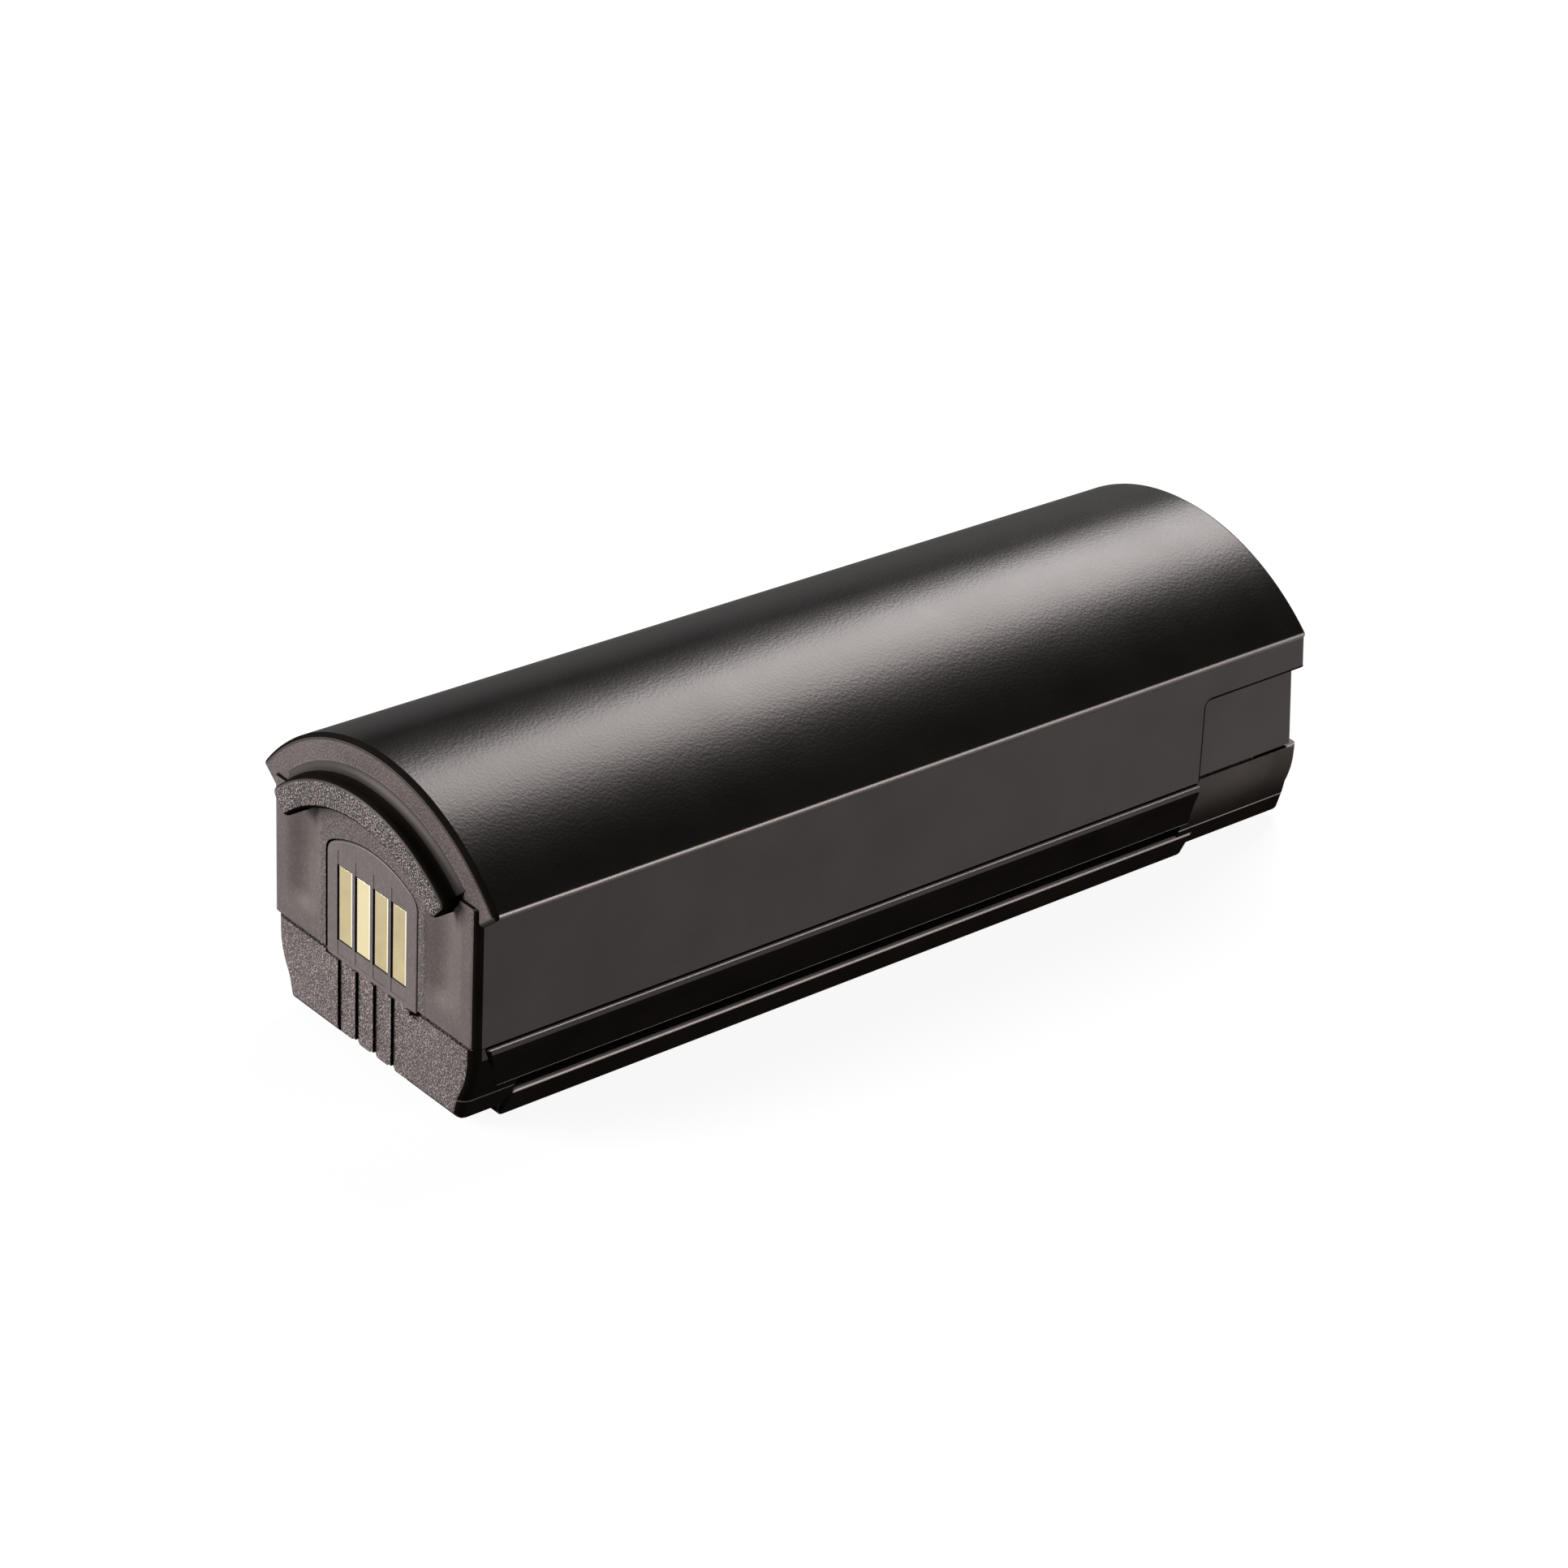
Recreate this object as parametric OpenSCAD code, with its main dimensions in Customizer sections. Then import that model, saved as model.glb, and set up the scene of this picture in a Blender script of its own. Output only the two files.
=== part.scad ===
// Removable rechargeable battery pack: one round cell in a two-part moulded housing.
// The long axis is X with the contacts at -X, the arched top faces +Z, and the runners stand on Z = 0.

/* [Cell] */
// Diameter of the bare cell
cell_d = 18.3; // [16:0.1:20]
// Length of the cell
cell_len = 65; // [40:0.5:80]
// Thickness of the shrink sleeve
sleeve_t = 0.1; // [0.08:0.01:0.2]

/* [Housing] */
// Wall of the flat sides
side_wall = 1.7; // [1.4:0.1:2.4]
// Wall of the arched top
cap_wall = 1.5; // [1.2:0.1:2.2]
// Wall at the contact end
front_wall = 1.5; // [1.2:0.1:2.4]
// Wall behind the cell, under the arched top
rear_wall = 1.2; // [1:0.1:2.4]
// Floor of the lower shell
floor_t = 1.5; // [1.2:0.1:2.2]
// Radius of the arched top
arch_r = 16.6; // [15.8:0.1:19]
// Overhang of the arched top past each flat side
wing = 1.5; // [0.8:0.1:1.8]
// Height of the joint line above the underside
seam_h = 6.1; // [5.6:0.1:6.8]
// Length of the body behind the arched top, at the joint line
tail_len = 3.2; // [2.4:0.1:4.4]
// Outward slope of the rear end, per length downwards
rear_lean = 0.11; // [0:0.01:0.12]
// Radius of the upright corners
corner_r = 0.6; // [0.3:0.05:0.8]

/* [Contact end] */
// Width of the arched end face outside the hood
rim_w = 2.5; // [2:0.1:3]
// How far the hood stands out of the arched top's end
hood_out = 1.55; // [0.8:0.05:3]
// Thickness of the hood
hood_t = 2.1; // [1.4:0.1:2.6]
// Half of the angle that the hood spans
hood_angle = 43; // [34:0.5:44]
// Step of the end wall in front of the arched top's end
wall_step = 0.26; // [0.1:0.02:0.5]
// Height of the end wall between the hood and the terminal plate
brow_h = 2.5; // [1.8:0.1:2.8]
// Width of the terminal plate
plate_w = 10; // [9:0.1:11]
// Distance between neighbouring contacts
pitch = 2; // [1.8:0.1:2.2]
// Width of a contact
contact_w = 1.6; // [1:0.05:1.65]
// Height of a contact
contact_h = 5.5; // [4:0.1:6]
// Depth of the scoops beside the plate, under the hood
scoop_depth = 0.55; // [0.3:0.05:0.8]
// Width of a scoop
scoop_w = 3.9; // [3:0.1:4.2]

/* [Base] */
// How much narrower the underside is than the flat sides, on each side
base_taper = 1.8; // [1.4:0.1:2.2]
// Height of the underside above the runners' feet
runner_drop = 0.48; // [0.3:0.02:0.8]
// Width of a runner
runner_w = 1.7; // [1.2:0.1:2.4]
// Length of the front end block
front_block = 2.2; // [1.6:0.1:5]
// Length of the rear end block
rear_block = 10.7; // [6:0.1:14]
// Depth of the side recess at the rear
recess_depth = 0.64; // [0.3:0.02:0.8]
// Height of the strip above the side recess
strip_h = 3.9; // [2:0.1:6]
// Depth of the front slots below the contacts
slot_depth = 0.2; // [0.1:0.05:0.6]

/* [Circuit] */
// Thickness of the circuit board
board_t = 0.8; // [0.6:0.1:1]
// Thickness of the power transistors
chip_t = 0.9; // [0.8:0.05:1.1]
// Thickness of the nickel strip
nickel_t = 0.15; // [0.1:0.01:0.2]
// Width of the nickel strip
nickel_w = 4; // [2:0.1:4.2]

/* [Hidden] */
$fn = 96;

// Clearances
side_gap = 0.35;    // between the sleeve and a side wall
floor_gap = 0.3;    // between the sleeve and the floor
top_gap = 0.7;      // over the cell, for the strip and its paper
fit_gap = 0.15;     // around the terminal plate
seam_gap = 0.22;    // open height of the joint line
rib_gap = 0.06;     // between the sleeve and the cradle ribs
chip_gap = 0.7;     // between the chips and the paper ring
board_gap = 0.7;    // between the board's edge and the housing
roll_gap = 0.15;    // between the electrode roll and the can
bead_gap = 0.08;    // between the temperature bead and the sleeve
blend = 0.01;       // overlap that joins solids of one piece
arc_steps = 6;      // straight steps along an arc in an outline
past = 1;           // how far a cutting tool runs past the surface that it cuts

// Small thicknesses
contact_t = 0.25;   // contact blade
contact_sink = 0.06; // contact face below the plate's face
stem_w = 0.6;       // width and thickness of a contact's stem
stem_room = 0.05;   // space around a stem
flange_t = 0.8;     // terminal plate's flange
flange_rim = 1;     // width of the flange's rim
slot_more = 0.08;   // length of a slot past each end of its contact
paper_t = 0.1;      // insulating paper
washer_t = 0.2;     // paper ring on the cell's end
pad_t = 0.3;        // foam pad behind the cell
base_inset = 0.3;   // the front block stands inside the flat sides by this
rib_t = 1.2;        // cradle rib
rib_step = 8;       // from the cell's ends to the outer ribs

// Heights
sleeve_r = cell_d / 2 + sleeve_t;
floor_z = runner_drop + floor_t;
cell_z = floor_z + floor_gap + sleeve_r;
strip_z = cell_z + sleeve_r + paper_t;
crest_z = cell_z + sleeve_r + top_gap + cap_wall;
arch_z = crest_z - arch_r;
seam_z = runner_drop + seam_h;
seam_top = seam_z + seam_gap / 2;
seam_low = seam_z - seam_gap / 2;

// Widths
inner_half = sleeve_r + side_gap;
side_half = inner_half + side_wall;
base_half = side_half - base_taper;
cap_half = side_half + wing;
tongue_half = inner_half + 0.8;
arch_angle = asin(cap_half / arch_r);
crease_z = arch_z + arch_r * cos(arch_angle);
shoulder_z = crease_z - 0.1; // top of the flat sides, inside the arched top
tail_z = crease_z - 1;       // top of the body behind the arched top
recess_z = crease_z - strip_h;

// Radii around the arch's axis
hood_r = arch_r - rim_w;
under_hood_r = hood_r - hood_t;
plate_r = under_hood_r - brow_h;
room_r = arch_r - cap_wall;
brow_r = under_hood_r + hood_t / 2; // end wall under the hood

// Stations along X, counted from the arched top's front end
wall_x = -wall_step;
inner_x = wall_x + front_wall;
board_x = inner_x + flange_t;
chips_x = board_x + board_t;
washer_x = chips_x + chip_t + chip_gap;
cell_x = washer_x + washer_t;
cell_end = cell_x + cell_len;
pad_x = cell_end + nickel_t;
inner_end = pad_x + pad_t;
cap_end = inner_end + rear_wall; // at the crest
tail_end = cap_end + tail_len;   // at the joint line
base_end = tail_end + 0.3;    // the base stands out behind the upper shell
recess_end = tail_end - 0.5;  // rear face below the strip, at the joint line
recess_x = base_end - rear_block;
mid_x = wall_x + front_block;
lip_x = wall_x + 1.3;         // the lip starts on the front block
middle_x = (base_end - hood_out) / 2;

// Base outline, given as half widths and as heights above the underside
lip_flat = 0.5;      // upright face of the lip
belly_r = 6;         // convex side of an end block
belly_turn = 24;     // angle that it turns through
chamfer_h = 1.6;     // top of the lower chamfer
chamfer_out = 0.45;  // and how far it stands out there
foot_r = 0.4;        // rounding at the underside
lip_edge = 0.1;      // chamfer on the lip's upper edge
band_r = 1.8;        // convex band under the lip
band_turn = 24;      // angle that it turns through
flute_r = 4;         // hollow under the band
flute_turn = 10;     // angle that it turns back through
side_lean = 14;      // slope of the side from there down
groove_top = 2.45;   // groove between that side and the runner
groove_in = 0.8;     // depth of that groove
groove_rise = 0.2;   // its roof rises outwards by this
rail_back = 1;       // a runner starts this far behind the front block
rail_out = 0.35;     // a runner's outer face past the underside's edge
rail_r = 0.3;        // rounding along the runner's outer top edge
rail_top = 1.25;     // top of a runner
rail_chamfer = 0.15; // chamfer along the runner's foot
room_taper = 1.9;    // the lower room's edge inside the underside's edge
room_chamfer = 0.4;  // chamfer along the lower room's floor

// Terminal plate, contacts and board
plate_low = seam_z - 0.22;
contact_low = plate_low + 1.45;
contact_top = contact_low + contact_h;
stem_z = contact_low + 2;
slot_w = contact_w + 0.1;
scoop_gap = 0.55;   // between the plate and a scoop
scoop_rise = 1.05;  // from the joint line to a scoop's lower end
scoop_lean = 2.4;   // a scoop gets shallower downwards, at this angle
nose_h = 0.6;       // the ribs between the front slots end this far above the underside
nose_depth = 1.1;   // depth of the step under them
nose_lead = 0.04;   // from the underside to the round end of a slot's floor
board_half = inner_half - board_gap;
board_r = room_r - board_gap;
board_low = seam_z + 0.5;
tab_half = 3;       // half height of the tab welded to the cell's cap
tail_tab = 4;       // the strip reaches this far below the cell's axis
flange_h = 1.8;     // height of the tabs soldered to the board

// Chips on the board: width, height and thickness, and their places
mosfet = [3, 4.4, chip_t];
mosfet_h = 3;       // above the board's lower edge
gauge = [3, 3, 0.75];
gauge_h = 2;        // above the board's lower edge
shunt = [4.6, 2.5, 0.6];
fuse = [4, 2.5, 0.8];
side_chip = 3.6;    // side chips' centres from the board's edge
fuse_h = 2.9;       // fuse and shunt above the cell's axis
capacitor = [1.5, 0.8, 0.8];
capacitor_pitch = 2.4;
capacitor_drop = 0.8; // below the strip's tab

// Cell
can_r = cell_d / 2;
can_t = 0.25;            // wall of the can
mouth_r = can_r - 2.5;   // opening in the can's rolled edge
seat_r = can_r - 1.25;   // edge of the cap under the gasket
button_r = 4.2;          // raised middle of the cap
groove_in_can = 0.9;     // depth of the groove that holds the cap
groove_x = [2.2, 2.6, 3.2, 3.6]; // stations of that groove from the cell's end
cap_step = 1.2;          // from the cap's face to its edge
cap_depth = 2.1;         // from the cap's face to its back
roll_x = 4.2;            // front end of the electrode roll
core_r = 1.2;            // hollow core of the roll
washer_r = 5;            // hole in the paper ring
pad_r = 6;               // foam pad

// Temperature bead
bead_r = 0.8;
bead_len = 3.5;
bead_x = cell_x + 4;
bead_angle = 35;         // above the horizontal, seen along the cell
lead_r = 0.2;

function contact_y(i) = (i - 1.5) * pitch;

// Points of an arc in the Y-Z plane, from angle a to angle b
function arc(y, z, r, a, b, n = arc_steps) =
    [for (i = [0:n]) [y + r * cos(a + (b - a) * i / n), z + r * sin(a + (b - a) * i / n)]];

// A half outline and its mirror image as one closed outline
function both(points) =
    concat(points, [for (i = [len(points) - 1:-1:0]) [-points[i][0], points[i][1]]]);

// Extrudes a Y-Z outline along X
module along_x(from, to) {
    translate([from, 0, 0]) rotate([90, 0, 90]) linear_extrude(to - from) children();
}

// A round bar along X at a point in the Y-Z plane
module bar_x(from, to, r, y = 0, z = 0) {
    translate([from, y, z]) rotate([0, 90, 0]) cylinder(h = to - from, r = r);
}

// A turned part on the cell's axis, with its outline measured from the cell's front end
module turned(points) {
    translate([cell_x, 0, cell_z]) rotate([0, 90, 0]) rotate_extrude() polygon(points);
}

// A box from one corner to the opposite one
module block(low, high) {
    translate(low) cube(high - low);
}

// A plan outline with rounded upright corners, raised from one height to another
module upright(x0, x1, half, r, z0, z1) {
    translate([0, 0, z0]) linear_extrude(z1 - z0) {
        translate([x0 + r, -half]) square([x1 - x0 - 2 * r, 2 * half]);
        translate([x0, r - half]) square([x1 - x0, 2 * half - 2 * r]);
        for (x = [x0 + r, x1 - r], y = [r - half, half - r]) translate([x, y]) circle(r);
    }
}

// A disc around the arch's axis
module disc(r) {
    translate([0, arch_z]) circle(r);
}

// A wedge of that disc, opening upwards
module wedge(r, angle) {
    reach = 2 * r;
    intersection() {
        disc(r);
        translate([0, arch_z]) polygon([[0, 0], [reach * sin(angle), reach * cos(angle)], [0, reach],
                                        [-reach * sin(angle), reach * cos(angle)]]);
    }
}

// Outline of the terminal plate, grown by a margin
module plate_outline(margin = 0) {
    intersection() {
        disc(plate_r + margin);
        translate([-plate_w / 2 - margin, plate_low - margin]) square([plate_w + 2 * margin, arch_r]);
    }
}

// The two upright scoops beside the plate, shallower towards their lower ends and closed by the hood above
module scoops() {
    r = (scoop_w * scoop_w / 4 + scoop_depth * scoop_depth) / (2 * scoop_depth);
    y = plate_w / 2 + scoop_gap + scoop_w / 2;
    low = seam_z + scoop_rise + scoop_w / 3;
    intersection() {
        along_x(wall_x - past, wall_x + scoop_depth + past) disc(brow_r);
        for (side = [-1, 1])
            translate([wall_x + scoop_depth / 2 - r, side * y, low]) rotate([0, scoop_lean, 0]) {
                sphere(r);
                cylinder(h = crest_z - low, r = r);
            }
    }
}

// Space for the cell and the board inside the upper shell
module upper_room() {
    along_x(inner_x, inner_end) intersection() {
        disc(room_r);
        translate([-inner_half, floor_z]) square([2 * inner_half, crest_z]);
    }
}

// All that lies behind a rear face that leans outwards downwards through a given point
module behind(x, z) {
    reach = 2 * crest_z;
    translate([x, 0, z]) rotate([0, -atan(rear_lean), 0])
        block([0, -cap_half - past, -reach], [reach, cap_half + past, reach]);
}

// The arched top with its leaning rear end
module arched_top() {
    difference() {
        along_x(0, tail_end) wedge(arch_r, arch_angle);
        behind(cap_end, crest_z);
    }
}

// The flat-sided body, lower behind the arched top
module body() {
    difference() {
        upright(wall_x, base_end, side_half, corner_r, seam_top, shoulder_z);
        behind(tail_end, seam_top);
        intersection() {
            behind(cap_end, crest_z);
            block([0, -cap_half, tail_z], [base_end, cap_half, crest_z]);
        }
    }
}

// The side recess at the rear, on one side
module side_recess(side) {
    depth = wing + recess_depth;
    y = side * (cap_half - depth / 2);
    block([recess_x, y - depth / 2, seam_z - past], [base_end, y + depth / 2, recess_z]);
}

// Arched top, flat sides and the end walls, without the hood
module upper_body() {
    difference() {
        union() {
            arched_top();
            along_x(wall_x, blend) wedge(brow_r, hood_angle);
            body();
        }
        block([-hood_out, -cap_half, 0], [base_end, cap_half, seam_top]);
        scoops();
    }
}

module hood() {
    along_x(-hood_out, blend) difference() {
        wedge(hood_r, hood_angle);
        disc(under_hood_r);
    }
}

module upper_shell() color([0.16, 0.15, 0.15]) difference() {
    union() {
        upper_body();
        hood();
    }
    upper_room();
    for (side = [-1, 1]) side_recess(side);
    intersection() {
        behind(recess_end, seam_top);
        block([cap_end, -cap_half, seam_z - past], [base_end, cap_half, recess_z]);
    }
    along_x(wall_x - past, inner_x + past) plate_outline(fit_gap);
}

// Half outline of the end blocks, from the joint line down to the underside
function block_half(half) = concat(
    [[0, seam_low], [half, seam_low]],
    arc(half - belly_r, seam_z - 1, belly_r, 0, -belly_turn),
    [[base_half + chamfer_out, runner_drop + chamfer_h]],
    arc(base_half - foot_r, runner_drop + foot_r, foot_r, -10, -90, 4),
    [[0, runner_drop]]);

// Convex band under the lip
function band() = arc(side_half - band_r, seam_low - lip_flat, band_r, 0, -band_turn);

// Half outline of the lip and the band
function lip_half() = concat(
    [[0, seam_low], [side_half - lip_edge, seam_low], [side_half, seam_low - lip_edge]], band());

// Hollow that follows the band, whose last point is given
function flute(edge) = arc(
    edge[0] + flute_r * cos(band_turn), edge[1] - flute_r * sin(band_turn), flute_r,
    180 - band_turn + 1, 180 - band_turn + flute_turn);

// The lip, the band and the hollow, then the sloping side and the groove above the runner
function fluted_half() = let (
    hollow = flute(band()[arc_steps]),
    foot = hollow[arc_steps],
    low = runner_drop + groove_top)
    concat(lip_half(), hollow,
           [[foot[0] - (foot[1] - low) * tan(side_lean), low], [base_half - groove_in, low - groove_rise],
            [base_half - groove_in, runner_drop], [0, runner_drop]]);

// Outline of one runner under the fluted part, with a rounded outer top edge
function runner_half() = concat(
    [[base_half - 1, runner_drop + rail_top],
     [base_half + rail_out - runner_w, runner_drop + rail_top / 2],
     [base_half + rail_out - runner_w, 0], [base_half + rail_out - rail_chamfer, 0],
     [base_half + rail_out, rail_chamfer]],
    arc(base_half + rail_out - rail_r, runner_drop + rail_top - rail_r, rail_r, 0, 90, 4));

module runner(side) {
    along_x(mid_x + rail_back, recess_x + foot_r) polygon([for (p = runner_half()) [side * p[0], p[1]]]);
}

// Space inside the lower shell, narrower towards the floor
module lower_room() {
    half = base_half - room_taper;
    along_x(inner_x, inner_end) polygon(both([
        [0, seam_z + past], [inner_half, seam_z + past], [inner_half, seam_z],
        [half, floor_z + room_chamfer], [half - room_chamfer, floor_z], [0, floor_z]]));
}

// Ribs that cradle the cell
module cradle() {
    half = base_half - room_taper - blend;
    for (x = [cell_x + rib_step, cell_x + cell_len / 2, cell_end - rib_step]) difference() {
        block([x, -half, floor_z - blend], [x + rib_t, half, seam_z - rib_t * 2]);
        bar_x(x - past, x + rib_t + past, sleeve_r + rib_gap, 0, cell_z);
    }
}

// The four slots down the front of the base, in line with the contacts, and the step below their ribs
module front_slots() {
    half = contact_y(3) + slot_w / 2;
    difference() {
        union() {
            for (i = [0:3])
                block([wall_x - past, contact_y(i) - slot_w / 2, 0],
                      [wall_x + slot_depth, contact_y(i) + slot_w / 2, seam_z]);
            block([wall_x - past, -half, 0], [wall_x + nose_depth, half, runner_drop + nose_h]);
        }
        for (i = [0:3])
            bar_x(wall_x + slot_depth, wall_x + nose_depth + past, slot_w / 2, contact_y(i),
                  runner_drop + nose_lead + slot_w / 2);
    }
}

// An end block of the base, with rounded upright corners
module end_block(from, to, inset) {
    half = side_half - inset;
    intersection() {
        along_x(from, to) polygon(both(block_half(half)));
        upright(wall_x, base_end, half, corner_r, 0, seam_z);
    }
}

module lower_shell() color([0.07, 0.07, 0.07]) difference() {
    union() {
        difference() {
            union() {
                end_block(wall_x, mid_x, base_inset);
                end_block(recess_x, base_end, recess_depth);
                along_x(lip_x, mid_x) polygon(both(concat(lip_half(), [[0, seam_low - band_r]])));
                along_x(mid_x, recess_x) polygon(both(fluted_half()));
                upright(inner_x - front_wall / 2, inner_end + rear_wall / 2, tongue_half, corner_r,
                        seam_low - blend, seam_top);
            }
            lower_room();
        }
        for (side = [-1, 1]) runner(side);
        cradle();
    }
    along_x(wall_x - past, inner_x + past) plate_outline(fit_gap);
    front_slots();
}

module terminal_block() color([0.3, 0.28, 0.28]) difference() {
    union() {
        along_x(wall_x, inner_x + blend) plate_outline();
        along_x(inner_x, board_x) plate_outline(flange_rim);
    }
    for (i = [0:3]) {
        y = contact_y(i);
        room = stem_w / 2 + stem_room;
        block([wall_x - past, y - slot_w / 2, contact_low - slot_more],
              [wall_x + contact_sink + contact_t, y + slot_w / 2, contact_top + slot_more]);
        block([wall_x, y - room, stem_z - room], [board_x + past, y + room, stem_z + room]);
    }
}

// One contact: a blade in its slot and a stem through the block to the board
module contact(i) color([0.85, 0.78, 0.55]) {
    y = contact_y(i);
    face = wall_x + contact_sink;
    half = stem_w / 2;
    block([face, y - contact_w / 2, contact_low], [face + contact_t, y + contact_w / 2, contact_top]);
    block([face + contact_t - blend, y - half, stem_z - half], [board_x, y + half, stem_z + half]);
}

module contact_plus() contact(3);
module contact_sense() contact(2);
module contact_data() contact(1);
module contact_minus() contact(0);

// Steel can, rolled in over the gasket, with the groove that holds the cap
module cell_can() color([0.75, 0.76, 0.78]) turned([
    [mouth_r, 0], [can_r, 0],
    [can_r, groove_x[0]], [can_r - groove_in_can, groove_x[1]],
    [can_r - groove_in_can, groove_x[2]], [can_r, groove_x[3]],
    [can_r, cell_len], [0, cell_len], [0, cell_len - can_t], [can_r - can_t, cell_len - can_t],
    [can_r - can_t, groove_x[3] + can_t / 2], [can_r - groove_in_can - can_t, groove_x[2] + can_t / 2],
    [can_r - groove_in_can - can_t, groove_x[1] - can_t / 2], [can_r - can_t, groove_x[0] - can_t / 2],
    [can_r - can_t, can_t], [mouth_r, can_t]]);

module electrode_roll() color([0.35, 0.25, 0.18]) {
    r = can_r - can_t - roll_gap;
    turned([[core_r, roll_x], [r, roll_x], [r, cell_len - can_t], [core_r, cell_len - can_t]]);
}

module cell_gasket() color([0.2, 0.2, 0.22]) {
    edge = groove_x[0] - can_t / 2;
    turned([[mouth_r, can_t], [can_r - can_t, can_t], [can_r - can_t, edge], [seat_r, edge],
            [seat_r, cap_step], [mouth_r, cap_step]]);
}

module cell_cap() color([0.8, 0.8, 0.82]) turned([
    [0, 0], [button_r, 0], [button_r, cap_step], [seat_r, cap_step], [seat_r, cap_depth], [0, cap_depth]]);

module cell_sleeve() color([0.2, 0.45, 0.7]) turned([
    [can_r, 0], [sleeve_r, 0], [sleeve_r, cell_len], [can_r, cell_len]]);

module end_washer() color([0.85, 0.85, 0.8]) turned([
    [washer_r, -washer_t], [can_r, -washer_t], [can_r, 0], [washer_r, 0]]);

// Nickel tab from the cell's cap to the board
module positive_tab() color([0.78, 0.77, 0.72]) {
    half = nickel_w / 2;
    high = cell_z + tab_half;
    block([cell_x - nickel_t, -half, cell_z - tab_half], [cell_x, half, high]);
    block([chips_x, -half, high - nickel_t], [cell_x, half, high]);
    block([chips_x, -half, high - nickel_t], [chips_x + nickel_t, half, high + flange_h]);
}

// Nickel strip from the can's bottom over the cell to the board
module negative_strip() color([0.78, 0.77, 0.72]) {
    half = nickel_w / 2;
    top = strip_z + nickel_t;
    block([cell_end, -half, cell_z - tail_tab], [pad_x, half, top]);
    block([chips_x, -half, strip_z], [pad_x, half, top]);
    block([chips_x, -half, strip_z - flange_h], [chips_x + nickel_t, half, top]);
}

module strip_insulator() color([0.9, 0.88, 0.7]) {
    half = nickel_w / 2 + 1;
    block([cell_x + 1, -half, cell_z + sleeve_r], [cell_end - 1, half, strip_z]);
}

module circuit_board() color([0.08, 0.3, 0.16]) along_x(board_x, chips_x) intersection() {
    disc(board_r);
    translate([-board_half, board_low]) square([2 * board_half, crest_z]);
}

// A chip on the board, centred at y and z
module chip(y, z, size) {
    block([chips_x, y - size[0] / 2, z - size[1] / 2], [chips_x + size[2], y + size[0] / 2, z + size[1] / 2]);
}

module mosfet_pair() color([0.1, 0.1, 0.1])
    for (side = [-1, 1]) chip(side * (board_half - side_chip), board_low + mosfet_h, mosfet);

module gauge_chip() color([0.12, 0.12, 0.13]) chip(0, board_low + gauge_h, gauge);

module shunt_resistor() color([0.15, 0.15, 0.16]) chip(side_chip - board_half, cell_z + fuse_h, shunt);

module thermal_fuse() color([0.8, 0.8, 0.75]) chip(board_half - side_chip, cell_z + fuse_h, fuse);

module chip_capacitors() color([0.6, 0.45, 0.3])
    for (i = [0:3]) chip((i - 1.5) * capacitor_pitch, strip_z - flange_h - capacitor_drop, capacitor);

// Temperature bead in the corner beside the cell, with two leads to the board
module thermistor() color([0.15, 0.15, 0.15]) {
    reach = sleeve_r + bead_gap + bead_r;
    y = reach * cos(bead_angle);
    z = cell_z + reach * sin(bead_angle);
    bar_x(bead_x, bead_x + bead_len, bead_r, y, z);
    for (side = [-1, 1]) bar_x(chips_x, bead_x + blend, lead_r, y, z + side * bead_r / 2);
}

module rear_pad() color([0.25, 0.25, 0.26]) bar_x(pad_x, inner_end, pad_r, 0, cell_z);

// The whole pack, centred on X
module place() translate([-middle_x, 0, 0]) children();

place() upper_shell();
place() lower_shell();
place() terminal_block();
place() contact_plus();
place() contact_sense();
place() contact_data();
place() contact_minus();
place() cell_can();
place() electrode_roll();
place() cell_gasket();
place() cell_cap();
place() cell_sleeve();
place() end_washer();
place() positive_tab();
place() negative_strip();
place() strip_insulator();
place() circuit_board();
place() mosfet_pair();
place() gauge_chip();
place() shunt_resistor();
place() chip_capacitors();
place() thermal_fuse();
place() thermistor();
place() rear_pad();
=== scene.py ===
# Battery pack with an arched cap: moulded shells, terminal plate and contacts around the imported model.
from math import acos, asin, atan2, cos, degrees, hypot, pi, radians, sin, tan
import bmesh
import bpy
from mathutils import Matrix, Vector


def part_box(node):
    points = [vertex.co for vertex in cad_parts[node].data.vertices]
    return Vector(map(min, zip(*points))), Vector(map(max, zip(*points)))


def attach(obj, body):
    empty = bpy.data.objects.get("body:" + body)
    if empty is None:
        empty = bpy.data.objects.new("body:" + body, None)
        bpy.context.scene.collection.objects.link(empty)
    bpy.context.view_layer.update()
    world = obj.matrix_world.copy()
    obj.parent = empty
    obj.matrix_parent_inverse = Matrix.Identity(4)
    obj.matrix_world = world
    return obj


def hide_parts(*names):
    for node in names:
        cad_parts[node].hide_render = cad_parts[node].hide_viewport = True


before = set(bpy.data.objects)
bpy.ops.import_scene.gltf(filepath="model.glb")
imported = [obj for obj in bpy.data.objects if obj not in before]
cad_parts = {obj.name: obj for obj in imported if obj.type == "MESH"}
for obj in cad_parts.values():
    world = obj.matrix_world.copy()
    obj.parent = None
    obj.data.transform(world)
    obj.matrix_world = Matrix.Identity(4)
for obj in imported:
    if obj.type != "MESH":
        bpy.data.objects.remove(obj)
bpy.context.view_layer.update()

MM = 0.001


# ---------------------------------------------------------------- sizes, in millimetres
def box_mm(node):
    """Lowest and highest corner of a CAD node, in millimetres."""
    low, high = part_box(node)
    return low / MM, high / MM


upper_low, upper_high = box_mm("upper_shell")
contact_low, contact_high = box_mm("contact_plus")
lower_high = box_mm("lower_shell")[1]
plate_high = box_mm("terminal_block")[1]
pad_high = box_mm("rear_pad")[1]

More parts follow.
